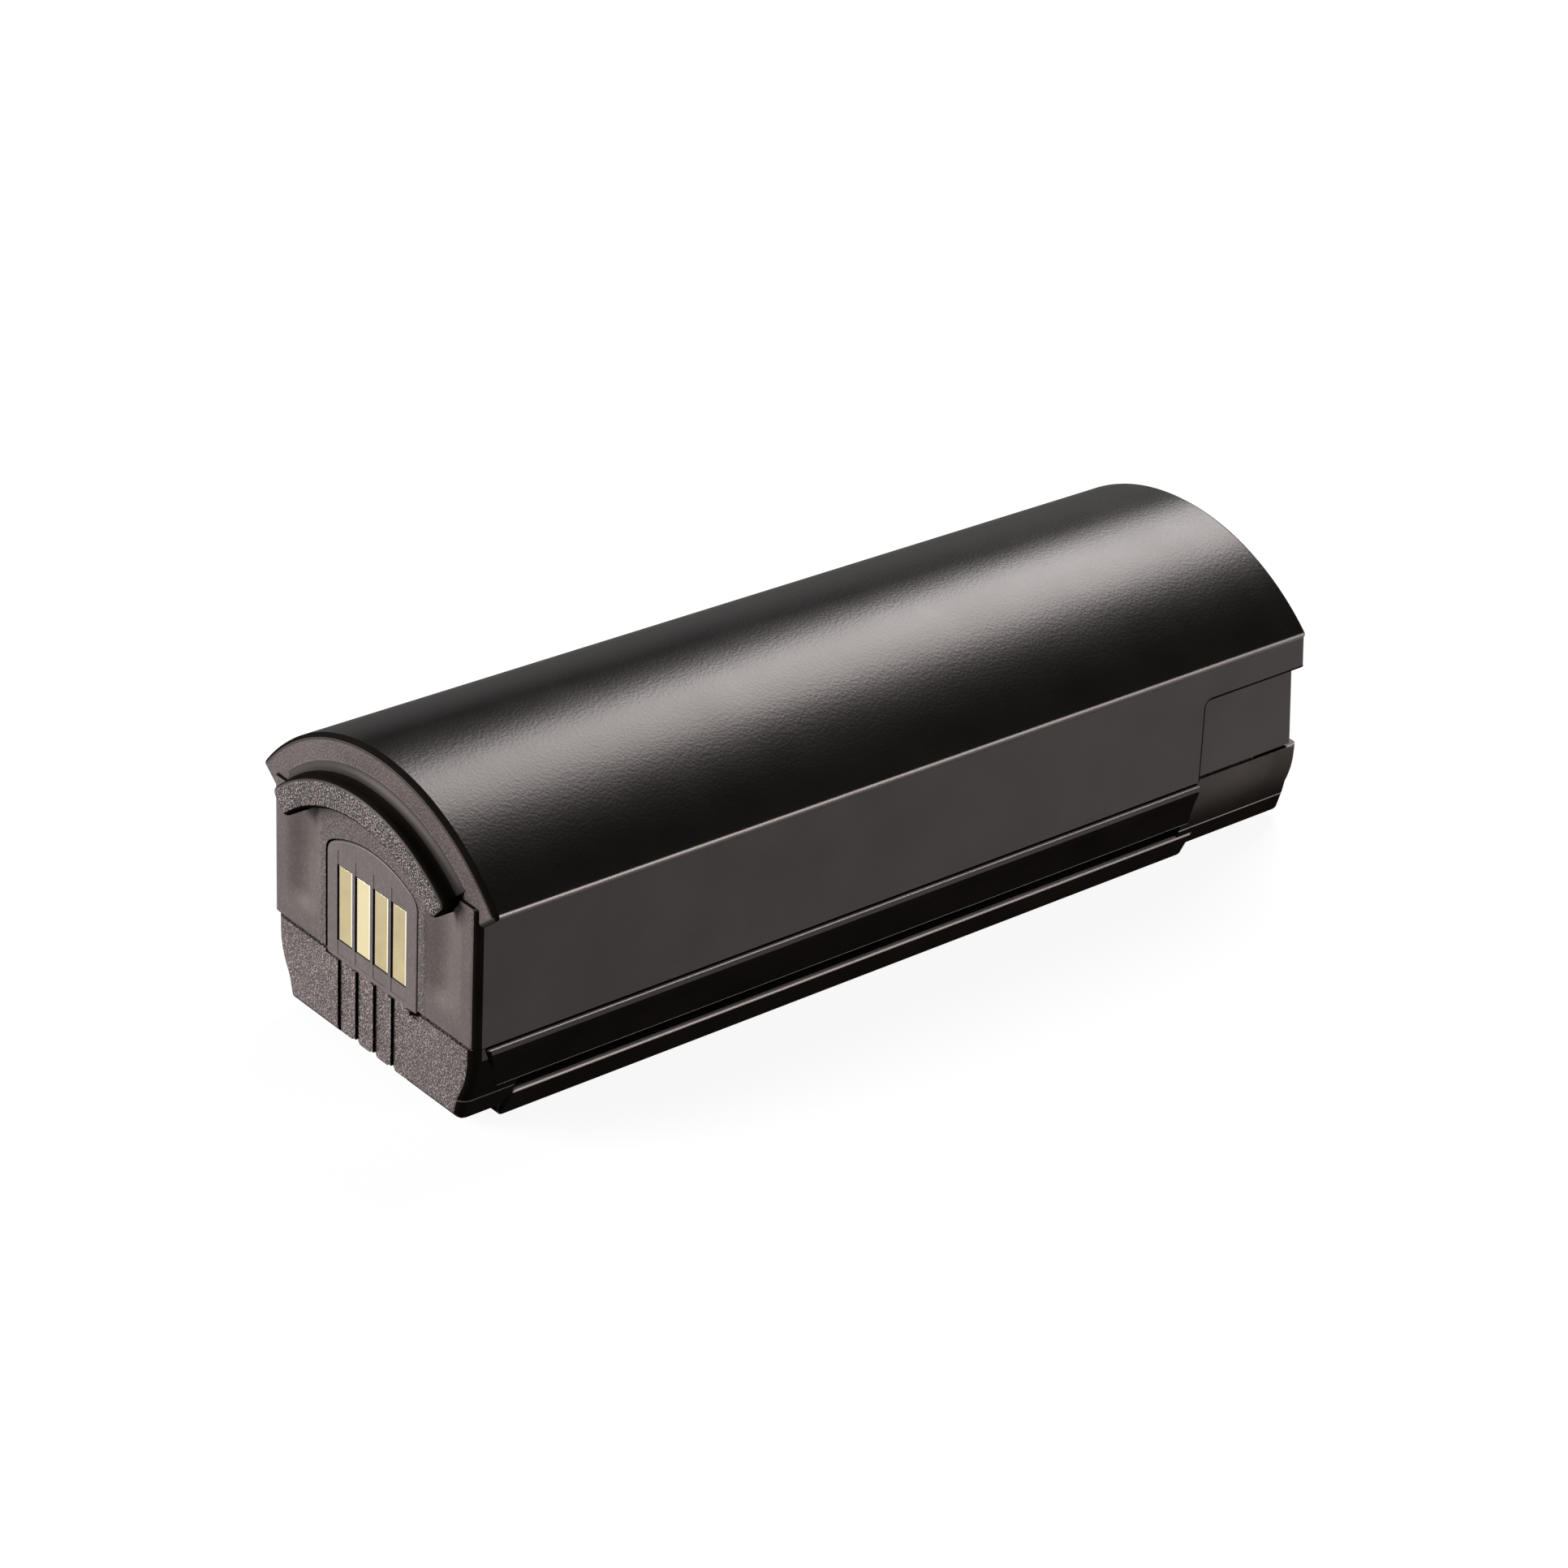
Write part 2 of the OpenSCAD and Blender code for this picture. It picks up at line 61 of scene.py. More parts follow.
# Upper shell
ARCH_R = 16.6           # radius of the arched top
CAP_HALF = 12.8         # half width over the wings
CAP_WALL = 1.5
CAP_ROUND = 0.4         # rounding of the cap's front edge
WING = 1.5              # overhang past the flat sides
HOOD_OUT = 1.55         # how far the hood stands out of the cap's end face
HOOD_IN = 0.4           # how far it reaches into the cap
HOOD_R = 14.1           # outer radius of the hood
HOOD_T = 2.1
HOOD_ANGLE = 43         # half angle of the hood
HOOD_ROUND = 0.45       # corners at the hood's two ends
END_WALL = 1.5          # thickness of the end wall
WALL_STEP = 0.26        # end wall in front of the cap's end face
TAIL_LEN = 3.2          # from the cap's crest to the rear face at the joint line
REAR_STEP = 0.3         # rear face of the strip in front of the base's
RECESS_LEN = 10.7       # side recess, and the base's rear block below it
RECESS_DEPTH = 0.64
RECESS_STEP = 0.5       # rear face of the recess in front of the strip's
STRIP_H = 3.9           # strip above the recess
SIDE_WALL = 1.7
CORNER = 0.6            # upright corners at the contact end
END_LEAN = 0.11         # outward slope of the rear end

# Joint and base
SEAM_GAP = 0.28         # open groove between the shells
RUNNER_DROP = 0.48      # underside of the base above the runners' feet
BASE_HALF = 9.5         # half width of the underside
FLOOR = 1.5             # thickness of the base's floor
FRONT_BLOCK = 4         # plain front end of the base, from the cap's end face
SIDE_START = 0.8        # start of its fluted length, inside that block
CREASE_RISE = 1.6       # crease of the end blocks above the underside
LEDGE_RISE = 2.45       # lower edge of the flutes above the underside
SLOT_DEPTH = 0.22       # upright slots below the contacts
SLOT_W = 1.55

# Terminal plate and contacts
PLATE_HALF = 5
PLATE_R = 9.5           # radius of its arched top, about the cap's axis
PLATE_DROP = 0.22       # lower edge below the joint
FIT_GAP = 0.15          # between the plate and the shells
CONTACTS = 4
PITCH = 2
CONTACT_W, CONTACT_H = 1.6, 5.5

PAST = 1                # how far a cutter reaches past what it cuts

crest = upper_high.z
axis_z = crest - ARCH_R
side_half = CAP_HALF - WING
inner_half = side_half - SIDE_WALL
arch_angle = degrees(asin(CAP_HALF / ARCH_R))
crease = axis_z + ARCH_R * cos(radians(arch_angle))
shoulder = crease - 0.1             # top of the flat sides, inside the cap
tail_top = crease - 1               # top of the strip behind the cap
recess_top = crease - STRIP_H
seam_top = upper_low.z
seam_low = seam_top - SEAM_GAP
seam = (seam_top + seam_low) / 2
base_crease = RUNNER_DROP + CREASE_RISE
ledge = RUNNER_DROP + LEDGE_RISE
plate_low = seam - PLATE_DROP
contact_mid = (contact_low.z + contact_high.z) / 2

front = upper_low.x + HOOD_OUT      # plane of the cap's end face
wall = front - WALL_STEP            # plane of the end wall
base_end = lower_high.x
tail_end = base_end - REAR_STEP     # rear face of the strip, carried down to the joint line
cap_end = tail_end - TAIL_LEN
recess_x = base_end - RECESS_LEN
recess_end = tail_end - RECESS_STEP
inner_x = wall + END_WALL
inner_end = pad_high.x
contact_face = contact_low.x


# ---------------------------------------------------------------- outlines
def arc(u, v, r, start, end, n=8):
    """Points of an arc, angles in degrees."""
    turn = [radians(start + (end - start) * i / n) for i in range(n + 1)]
    return [(u + r * cos(a), v + r * sin(a)) for a in turn]


def rounded(corners, n=4):
    """A closed outline through (u, v, radius) corners, each rounded by its own radius."""
    out = []
    for i, (u, v, r) in enumerate(corners):
        if r == 0:
            out.append((u, v))
            continue
        here = Vector((u, v))
        before = (Vector(corners[i - 1][:2]) - here).normalized()
        after = (Vector(corners[(i + 1) % len(corners)][:2]) - here).normalized()
        half = before.angle(after) / 2
        reach = r / tan(half)
        centre = here + (before + after).normalized() * r / sin(half)
        a, b = here + before * reach - centre, here + after * reach - centre
        start, turn = atan2(a.y, a.x), atan2(b.y, b.x) - atan2(a.y, a.x)
        turn = (turn + pi) % (2 * pi) - pi
        out += [(centre.x + r * cos(start + turn * k / n), centre.y + r * sin(start + turn * k / n))
                for k in range(n + 1)]
    return out


def with_corners(curve, r):
    """A curve whose two end points are corners of radius r."""
    return [(*curve[0], r)] + curve[1:-1] + [(*curve[-1], r)]


def cornered(points):
    """Corners from (u, v) or (u, v, radius) points, the first sort being sharp."""
    return [tuple(p) if len(p) == 3 else (p[0], p[1], 0) for p in points]


def mirrored(points):
    """A half outline, from the middle outwards and back, closed by its mirror image."""
    points = cornered(points)
    return points + [(-u, v, r) for u, v, r in reversed(points) if u != 0]


def inset(corners, d):
    """The corners moved inwards by d along their mitred normals, with their radii kept parallel."""
    turned = sum(a[0] * b[1] - b[0] * a[1] for a, b in zip(corners, corners[1:] + corners[:1]))
    side = 1 if turned > 0 else -1
    out = []
    for i, (u, v, r) in enumerate(corners):
        a = (Vector((u, v)) - Vector(corners[i - 1][:2])).normalized()
        b = (Vector(corners[(i + 1) % len(corners)][:2]) - Vector((u, v))).normalized()
        na, nb = Vector((-a.y, a.x)) * side, Vector((-b.y, b.x)) * side
        n = (na + nb) / max(1 + na.dot(nb), 0.2)
        convex = (a.x * b.y - a.y * b.x) * side > 0
        out.append((u + n.x * d, v + n.y * d, r and max(r - d if convex else r + d, 0.01)))
    return out


# ---------------------------------------------------------------- meshes
FLAT_FOLD = radians(0.4)        # faces that fold less than this are joined
CHOSEN_FOLD = radians(9)        # least fold of an edge that is rounded by its own width
SHARP_FOLD = radians(38)        # least fold of an edge that is rounded with all the others
SHADED_FOLD = radians(32)       # least fold that is shaded as an edge
BEVEL_STEPS = 3

PLACES = {
    "x": lambda u, v, w: (w, u, v),
    "y": lambda u, v, w: (u, w, v),
    "z": lambda u, v, w: (u, v, w),
}


def new_object(name, bm):
    """An object from a bmesh, with its faces turned outwards."""
    mesh = bpy.data.meshes.new(name)
    bmesh.ops.recalc_face_normals(bm, faces=bm.faces)
    bm.to_mesh(mesh)
    bm.free()
    obj = bpy.data.objects.new(name, mesh)
    bpy.context.scene.collection.objects.link(obj)
    return obj


def end_stations(at, r, way, n):
    """(station, inset) pairs that round one end of a prism."""
    if r == 0:
        return [(at, 0)]
    turn = [pi / 2 * k / n for k in range(n + 1)]
    return [(at + way * r * (1 - sin(a)), r * (1 - cos(a))) for a in turn]


def prism(name, corners, start, end, r_start=0, r_end=0, axis="x", rake=None, n=4):
    """An outline swept along an axis, with both ends' edges rounded. rake moves a point along the axis."""
    corners = cornered(corners)
    stations = sorted(end_stations(start, r_start, 1, n) + end_stations(end, r_end, -1, n))
    rings = []
    for w, d in stations:
        ring = rounded(inset(corners, d), n)
        rings.append([PLACES[axis](u, v, w + (rake(v, w) if rake else 0)) for u, v in ring])
    return loft(name, rings)


def loft(name, rings):
    """A solid through closed rings of equally many points."""
    bm = bmesh.new()
    loops = [[bm.verts.new(Vector(point) * MM) for point in ring] for ring in rings]
    count = len(loops[0])
    for a, b in zip(loops, loops[1:]):
        for i in range(count):
            bm.faces.new((a[i], a[(i + 1) % count], b[(i + 1) % count], b[i]))
    bm.faces.new(loops[0])
    bm.faces.new(loops[-1])
    return new_object(name, bm)


def block(name, low, high):
    """A box between two corners."""
    outline = [(low[0], low[1]), (high[0], low[1]), (high[0], high[1]), (low[0], high[1])]
    return prism(name, outline, low[2], high[2], axis="z")


def applied(obj):
    """Turns an object's modifiers into its plain mesh."""
    depsgraph = bpy.context.evaluated_depsgraph_get()
    mesh = bpy.data.meshes.new_from_object(obj.evaluated_get(depsgraph), depsgraph=depsgraph)
    old = obj.data
    obj.modifiers.clear()
    obj.data = mesh
    bpy.data.meshes.remove(old)
    mesh.name = obj.name
    return obj


def combine(base, tools, operation):
    """Joins or cuts a solid with others, one after another, and removes the others."""
    for tool in tools:
        mod = base.modifiers.new("tool", "BOOLEAN")
        mod.operation = operation
        mod.solver = "EXACT"
        mod.object = tool
    applied(base)
    for tool in tools:
        mesh = tool.data
        bpy.data.objects.remove(tool)
        bpy.data.meshes.remove(mesh)
    return base


def soften(obj, width, wider=()):
    """Rounds the chosen edges by their own (width, test) and then all that are still sharp by one width."""
    bm = bmesh.new()
    bm.from_mesh(obj.data)
    bmesh.ops.remove_doubles(bm, verts=bm.verts, dist=2e-6)
    bmesh.ops.dissolve_limit(bm, angle_limit=FLAT_FOLD, verts=bm.verts, edges=bm.edges)
    for own, test in wider:
        chosen = [e for e in bm.edges if len(e.link_faces) == 2 and e.calc_face_angle(0) > CHOSEN_FOLD
                  and test([v.co / MM for v in e.verts])]
        bmesh.ops.bevel(bm, geom=chosen, offset=own * MM, segments=BEVEL_STEPS, profile=0.5,
                        affect="EDGES", clamp_overlap=False)
    bm.to_mesh(obj.data)
    bm.free()
    bevel = obj.modifiers.new("bevel", "BEVEL")
    bevel.width = width * MM
    bevel.segments = BEVEL_STEPS
    bevel.limit_method = "ANGLE"
    bevel.angle_limit = SHARP_FOLD
    bevel.use_clamp_overlap = True
    applied(obj)
    for face in obj.data.polygons:
        face.use_smooth = True
    obj.data.set_sharp_from_angle(angle=SHADED_FOLD)
    weighted = obj.modifiers.new("weighted", "WEIGHTED_NORMAL")
    weighted.keep_sharp = True
    return applied(obj)


# ---------------------------------------------------------------- repeated rounded bars
def bar_tree():
    """Geometry nodes: a row of equal bars with rounded corners, their long side upright, swept along X."""
    tree = bpy.data.node_groups.new("rounded_bars", "GeometryNodeTree")
    sockets = tree.interface
    sockets.new_socket("Geometry", in_out="OUTPUT", socket_type="NodeSocketGeometry")
    for name, kind in (("Count", "Int"), ("Pitch", "Float"), ("Width", "Float"), ("Height", "Float"),
                       ("Depth", "Float"), ("Corner", "Float"), ("Centre", "Vector")):
        sockets.new_socket(name, in_out="INPUT", socket_type="NodeSocket" + kind)
    nodes, links = tree.nodes, tree.links
    given = nodes.new("NodeGroupInput")
    result = nodes.new("NodeGroupOutput")
    quad = nodes.new("GeometryNodeCurvePrimitiveQuadrilateral")
    fillet = nodes.new("GeometryNodeFilletCurve")
    fillet.mode = "POLY"
    fillet.inputs["Count"].default_value = 6
    path = nodes.new("GeometryNodeCurvePrimitiveLine")
    far = nodes.new("ShaderNodeCombineXYZ")
    sweep = nodes.new("GeometryNodeCurveToMesh")
    sweep.inputs["Fill Caps"].default_value = True
    upright = nodes.new("GeometryNodeTransform")
    upright.inputs["Rotation"].default_value = (0, pi / 2, 0)
    row = nodes.new("GeometryNodeMeshLine")
    step = nodes.new("ShaderNodeCombineXYZ")
    span = nodes.new("ShaderNodeMath")
    span.operation = "MULTIPLY"
    less = nodes.new("ShaderNodeMath")
    less.operation = "SUBTRACT"
    less.inputs[1].default_value = 1
    half = nodes.new("ShaderNodeMath")
    half.operation = "MULTIPLY"
    half.inputs[1].default_value = -0.5
    first = nodes.new("ShaderNodeCombineXYZ")
    start = nodes.new("ShaderNodeVectorMath")
    start.operation = "ADD"
    place = nodes.new("GeometryNodeInstanceOnPoints")
    real = nodes.new("GeometryNodeRealizeInstances")
    for a, b in (
            (given.outputs["Height"], quad.inputs["Width"]),
            (given.outputs["Width"], quad.inputs["Height"]),
            (quad.outputs["Curve"], fillet.inputs["Curve"]),
            (given.outputs["Corner"], fillet.inputs["Radius"]),
            (given.outputs["Depth"], far.inputs["Z"]),
            (far.outputs["Vector"], path.inputs["End"]),
            (path.outputs["Curve"], sweep.inputs["Curve"]),
            (fillet.outputs["Curve"], sweep.inputs["Profile Curve"]),
            (sweep.outputs["Mesh"], upright.inputs["Geometry"]),
            (given.outputs["Count"], less.inputs[0]),
            (less.outputs[0], span.inputs[0]),
            (given.outputs["Pitch"], span.inputs[1]),
            (span.outputs[0], half.inputs[0]),
            (half.outputs[0], first.inputs["Y"]),
            (first.outputs["Vector"], start.inputs[0]),
            (given.outputs["Centre"], start.inputs[1]),
            (given.outputs["Count"], row.inputs["Count"]),
            (start.outputs["Vector"], row.inputs["Start Location"]),
            (given.outputs["Pitch"], step.inputs["Y"]),
            (step.outputs["Vector"], row.inputs["Offset"]),
            (row.outputs["Mesh"], place.inputs["Points"]),
            (upright.outputs["Geometry"], place.inputs["Instance"]),
            (place.outputs["Instances"], real.inputs["Geometry"]),
            (real.outputs["Geometry"], result.inputs["Geometry"])):
        links.new(a, b)
    return tree


def bars(name, width, height, depth, corner, centre):
    """A row of rounded bars, one to a contact. The centre is at their face, and they go back along X."""
    mesh = bpy.data.meshes.new(name)
    obj = bpy.data.objects.new(name, mesh)
    bpy.context.scene.collection.objects.link(obj)
    mod = obj.modifiers.new("bars", "NODES")
    mod.node_group = BAR_TREE
    values = {"Count": CONTACTS, "Pitch": PITCH * MM, "Width": width * MM, "Height": height * MM,
              "Depth": depth * MM, "Corner": corner * MM, "Centre": Vector(centre) * MM}
    for item in BAR_TREE.interface.items_tree:
        if item.in_out == "INPUT":
            mod[item.identifier] = values[item.name]
    return applied(obj)


BAR_TREE = bar_tree()


# ---------------------------------------------------------------- upper shell
def cap_band(r, angle, inner, corner=0):
    """Outline of an arched band about the cap's axis, closed by a chord at the inner radius."""
    outer = arc(0, axis_z, r, 90 - angle, 90 + angle, 56)
    ends = arc(0, axis_z, inner, 90 + angle, 90 - angle, 1)
    return with_corners(outer, corner) + ends


def hood_arcs(outer, inner, angle):
    """Top of an arched bar about the cap's axis, and its underside on the way back."""
    return (arc(0, axis_z, outer, 90 - angle, 90 + angle, 40),
            arc(0, axis_z, inner, 90 + angle, 90 - angle, 34))


def hood_outline():
    top, underside = hood_arcs(HOOD_R, HOOD_R - HOOD_T, HOOD_ANGLE)
    return with_corners(top, HOOD_ROUND) + with_corners(underside, HOOD_ROUND)


def hood_root(r=0.9, n=8):
    """A hollow fillet where the top of the hood grows out of the cap's end face."""
    rings = []
    for turn in (pi / 2 * k / n for k in range(n + 1)):
        top, underside = hood_arcs(HOOD_R + r * (1 - cos(turn)), HOOD_R - HOOD_T / 2, HOOD_ANGLE - 2)
        rings.append([(front - r + r * sin(turn), u, v) for u, v in top + underside])
    rings.append([(front + HOOD_IN, u, v) for _, u, v in rings[-1]])
    return loft("hood_root", rings)


def plate_outline(margin, corner):
    """Outline of the terminal plate, or of what is larger by a margin: straight sides under an arched top."""
    half, r = PLATE_HALF + margin, PLATE_R + margin
    side = degrees(acos(half / r))
    top = arc(0, axis_z, r, side, 180 - side, 14)
    low = plate_low - margin
    return [(half, low, 0.15)] + with_corners(top, corner) + [(-half, low, 0.15)]


def plate_opening():
    """Cutter for the opening that takes the terminal plate, in both shells."""
    return prism("opening", plate_outline(FIT_GAP, 1.1), wall - PAST, inner_x + PAST)


def scoop_tool(side):
    """One upright scoop with soft sides: a bar of cosine section, shallower downwards, up to the hood."""
    depth, half, taper, low, nose = 0.62, 2.2, 0.03, seam + 1.2, 1.8
    middle = side * (PLATE_HALF + 0.5 + half)
    heights = [low + nose * k / 6 for k in range(7)] + [crease, crest]
    rings = []
    for z in heights:
        deep = (depth - taper * (crease - z)) * sin(pi / 2 * min((z - low) / nose, 1)) ** 2
        curve = [(wall - 0.004 + deep * (1 + cos(pi * k / 10)) / 2, middle + half * k / 10, z)
                 for k in range(-10, 11)]
        rings.append(curve + [(wall - PAST, middle + half, z), (wall - PAST, middle - half, z)])
    limit = prism("limit", arc(0, axis_z, HOOD_R - HOOD_T / 2, 0, 354, 59), wall - 3, wall + 3)
    return combine(loft("scoop", rings), [limit], "INTERSECT")


def side_recess(side):
    """Cutter for the shallow recess at the rear of one flat side, open downwards and to the rear."""
    outline = [(recess_x - 0.1, recess_top, 0.4), (recess_x + 0.15, seam - 2), (base_end + PAST, seam - 2),
               (base_end + PAST, recess_top)]
    inner, outer = side_half - RECESS_DEPTH, CAP_HALF + PAST
    return prism("recess", outline, *sorted((side * inner, side * outer)), axis="y")


def leaning(x, height, z):
    """Station at height z of a rear face that passes through x at a given height."""
    return x + END_LEAN * (height - z)


def behind(x, height, low, high):
    """Cutter for what lies behind a leaning rear face, between two heights."""
    rear = base_end + 5
    outline = [(leaning(x, height, low), low), (rear, low), (rear, high), (leaning(x, height, high), high)]
    return prism("behind", outline, -CAP_HALF - PAST, CAP_HALF + PAST, axis="y")


def upper_shell():
    """Flat sides and end wall under an arched cap, with hood, scoops, side recesses and the room inside."""
    body = prism("upper_shell_moulding",
                 [(wall, -side_half, CORNER), (base_end, -side_half), (base_end, side_half),
                  (wall, side_half, CORNER)], seam_top, shoulder, 0, 0.12, axis="z")
    strip_top = behind(cap_end - 0.8, crest, tail_top, crest)
    strip_end = behind(tail_end, seam_top, 0, crest)
    combine(body, [strip_top, strip_end], "DIFFERENCE")

    def rake(z, x):
        return leaning(0, crest, z) if x > 0 else 0
    cap = prism("cap", cap_band(ARCH_R, arch_angle + 0.5, ARCH_R - 3, 0.3), front, cap_end,
                CAP_ROUND, 0.3, rake=rake)
    brow = prism("brow", cap_band(HOOD_R - HOOD_T / 2, HOOD_ANGLE, ARCH_R - 9), wall, front + 0.5)
    combine(body, [cap, brow], "UNION")
    combine(body, [scoop_tool(side) for side in (-1, 1)], "DIFFERENCE")
    hood = prism("hood", hood_outline(), front - HOOD_OUT, front + HOOD_IN, 0.4)
    combine(body, [hood, hood_root()], "UNION")
    side = degrees(acos(inner_half / (ARCH_R - CAP_WALL)))
    room = prism("room", arc(0, axis_z, ARCH_R - CAP_WALL, side, 180 - side, 24)
                 + [(-inner_half, seam - 3), (inner_half, seam - 3)], inner_x, inner_end)
    under = behind(recess_end, seam_top, seam - 1, recess_top)
    combine(body, [room, under, plate_opening()] + [side_recess(s) for s in (-1, 1)], "DIFFERENCE")
    return soften(body, 0.07, ((0.32, on_recess), (0.25, on_rear_corner)))


def on_recess(ends):
    """Edges where the side recess meets the flat side."""
    flat = all(abs(abs(p.y) - side_half) < 0.01 for p in ends)
    return flat and all(p.x > recess_x - 0.5 and seam < p.z < recess_top + 0.02 for p in ends)


def on_rear_corner(ends):
    """The upright rear corners."""
    upright = abs(ends[0].z - ends[1].z) > 1.5
    return upright and all(p.x > recess_end - 2 and abs(p.y) > side_half - RECESS_DEPTH - 0.01 for p in ends)


# ---------------------------------------------------------------- lower shell
def end_block(name, half, start, end, r_start, r_end):
    """A solid end block of the base, taken a little over the joint line."""
    outline = mirrored(
        [(0, seam + 1), (half, seam + 1)] + arc(half - 6, seam - 1, 6, 0, -24, 6)
        + [(BASE_HALF + 0.45, base_crease, 0.12), (BASE_HALF, RUNNER_DROP, 0.4), (0, RUNNER_DROP)])
    return prism(name, outline, start, end, r_start, r_end)


def band_points():
    """Lip, convex band and shallow flute on the side of the base, from the top down."""
    band_r, band_turn, flute_r, flute_turn, taper = 1.8, 24, 4, 10, 14
    band = arc(side_half - band_r, seam_low - 0.5, band_r, 0, -band_turn, 5)
    y, z = band[-1]
    centre = (y + flute_r * cos(radians(band_turn)), z - flute_r * sin(radians(band_turn)))
    flute = arc(*centre, flute_r, 180 - band_turn, 180 - band_turn + flute_turn, 3)
    y, z = flute[-1]
    return band + flute[1:] + [(y - (z - ledge) * tan(radians(taper)), ledge, 0.1)]


def base_side():
    """The fluted length of the base, without its runners."""
    web = BASE_HALF - 0.8
    outline = mirrored([(0, seam_low), (side_half, seam_low, 0.14)] + band_points()
                       + [(web, RUNNER_DROP + 2.25), (web, RUNNER_DROP, 0.1), (0, RUNNER_DROP)])

    def rake(z, x):
        return 0.34 * (seam_low - z) if x < front + FRONT_BLOCK else 0
    return prism("base_side", outline, front + SIDE_START, recess_x, 0.22, 0.08, rake=rake)


def runner(side):
    """One of the two long runners under the base. Both its ends lean backwards."""
    outer, top, width = BASE_HALF + 0.35, RUNNER_DROP + 1.25, 1.7
    outline = [(side * u, v, r) for u, v, r in (
        (outer, top, 0.28), (outer - width, top - 0.4, 0), (outer - width, 0, 0.2), (outer, 0, 0.2))]

    def rake(z, x):
        return 0.7 * z - 0.25 if x < 0 else 0.8 * z - 0.2
    return prism("runner", outline, front + 2.95, recess_x + 0.35, 0.5, 0.25, rake=rake)


def lower_room():
    """Cutter for the room inside the base."""
    half, floor = BASE_HALF - 1.9, RUNNER_DROP + FLOOR
    outline = mirrored([(0, seam + 2), (inner_half, seam + 2), (inner_half, seam), (half, floor + 0.4),
                        (half - 0.4, floor), (0, floor)])
    return prism("room", outline, inner_x, inner_end)


def rib_places():
    """Front faces of the three ribs that cradle the cell."""
    low, high = box_mm("cell_can")
    from_end = 8
    return low.x + from_end, (low.x + high.x) / 2, high.x - from_end


def cradle_rib(x):
    """A rib across the base, hollowed to the sleeve of the cell."""
    low, high = box_mm("cell_sleeve")
    half, floor, top = BASE_HALF - 1.91, RUNNER_DROP + FLOOR - 0.01, seam - 2.4
    r, z = (high.z - low.z) / 2 + 0.06, (high.z + low.z) / 2
    reach = min(degrees(asin(min(half / r, 1))), degrees(acos((z - top) / r)))
    hollow = arc(0, z, r, -90 - reach, -90 + reach, 16)
    outline = [(-half, floor), (half, floor), (half, top)] + hollow[::-1] + [(-half, top)]
    return prism("rib", outline, x, x + 1.2)


def front_step():
    """Cutter for the step below the front slots. It leaves the round lower ends of the slots' floors."""
    half = (CONTACTS - 1) / 2 * PITCH + SLOT_W / 2
    step = block("step", (wall - PAST, -half, -PAST), (wall + 1.1, half, RUNNER_DROP + 0.6))
    ends = bars("ends", SLOT_W, 4, 2, SLOT_W / 2 - 0.01, (wall + SLOT_DEPTH, 0, RUNNER_DROP + 2.04))
    return combine(step, [ends], "DIFFERENCE")


def joint_tongue():
    """The rim that stands on the base's inner edge and closes the groove of the joint from inside."""
    half, low, high = inner_half + 0.8, inner_x - 0.75, inner_end + 0.6
    outline = [(low, -half, 0.5), (high, -half, 0.5), (high, half, 0.5), (low, half, 0.5)]
    return prism("tongue", outline, seam_low - 0.3, seam_top, axis="z")


def lower_shell():
    """End blocks and fluted sides on two runners, with front slots, joint tongue, room and ribs."""
    body = end_block("lower_shell_moulding", side_half - 0.3, wall, front + FRONT_BLOCK, 0.85, 0)
    rear = end_block("rear_block", side_half - RECESS_DEPTH, recess_x - 0.3, base_end, 0, 0.6)
    combine(body, [base_side(), rear], "UNION")
    above = block("above", (wall - PAST, -CAP_HALF, seam_low), (base_end + PAST, CAP_HALF, crest))
    combine(body, [above], "DIFFERENCE")
    combine(body, [runner(-1), runner(1), joint_tongue()], "UNION")
    slots = bars("slots", SLOT_W, 2 * seam + 2, PAST + SLOT_DEPTH, 0.05, (wall - PAST, 0, 0))
    notch = block("notch", (wall - PAST, -PLATE_HALF - 0.3, plate_low - 0.4),
                  (wall + 0.7, -PLATE_HALF + 0.75, seam))
    combine(body, [lower_room(), slots, front_step(), plate_opening(), notch], "DIFFERENCE")
    combine(body, [cradle_rib(x) for x in rib_places()], "UNION")
    return soften(body, 0.06, ((0.22, on_rear_edge),))


def on_rear_edge(ends):
    """The upper side edges of the rear block."""
    return all(p.x > recess_x - 0.01 and abs(p.z - seam_low) < 0.01 and abs(p.y) > inner_half + 1
               for p in ends)


# ---------------------------------------------------------------- terminal plate and contacts
def terminal_plate():
    """The insert in the end wall, its flange behind, and a pocket and a shallow track for each blade."""
    body = prism("terminal_plate", plate_outline(0, 1), wall, inner_x + 0.1, 0.1)
    flange = prism("flange", plate_outline(1, 1.6), inner_x, plate_high.x)
    combine(body, [flange], "UNION")
    width, face = CONTACT_W + 0.1, (wall - PAST, 0, contact_mid)
    pockets = bars("pockets", width, CONTACT_H + 0.16, PAST + 0.31, 0.05, face)
    tracks = bars("tracks", width - 0.1, CONTACT_H + 2.2, PAST + 0.03, 0.05, face)
    combine(body, [pockets, tracks], "DIFFERENCE")
    return soften(body, 0.035)


def contact(node):
    """A flat blade with rounded upright edges, and the stem that carries it to the board."""
    low, high = box_mm(node)
    middle = (low.y + high.y) / 2
    half_w, half_h = CONTACT_W / 2, CONTACT_H / 2
    back, corner, stem_half = contact_face + 0.25, 0.15, 0.3
    outline = [(contact_face, middle - half_w, corner), (back, middle - half_w), (back, middle + half_w),
               (contact_face, middle + half_w, corner)]
    blade = prism(node.replace("contact_", "blade_"), outline, contact_mid - half_h, contact_mid + half_h,
                  axis="z")
    stem = block("stem", (contact_face + 0.2, middle - stem_half, contact_mid - 1.05),
                 (high.x, middle + stem_half, contact_mid - 0.45))
    combine(blade, [stem], "UNION")
    return soften(blade, 0.03)


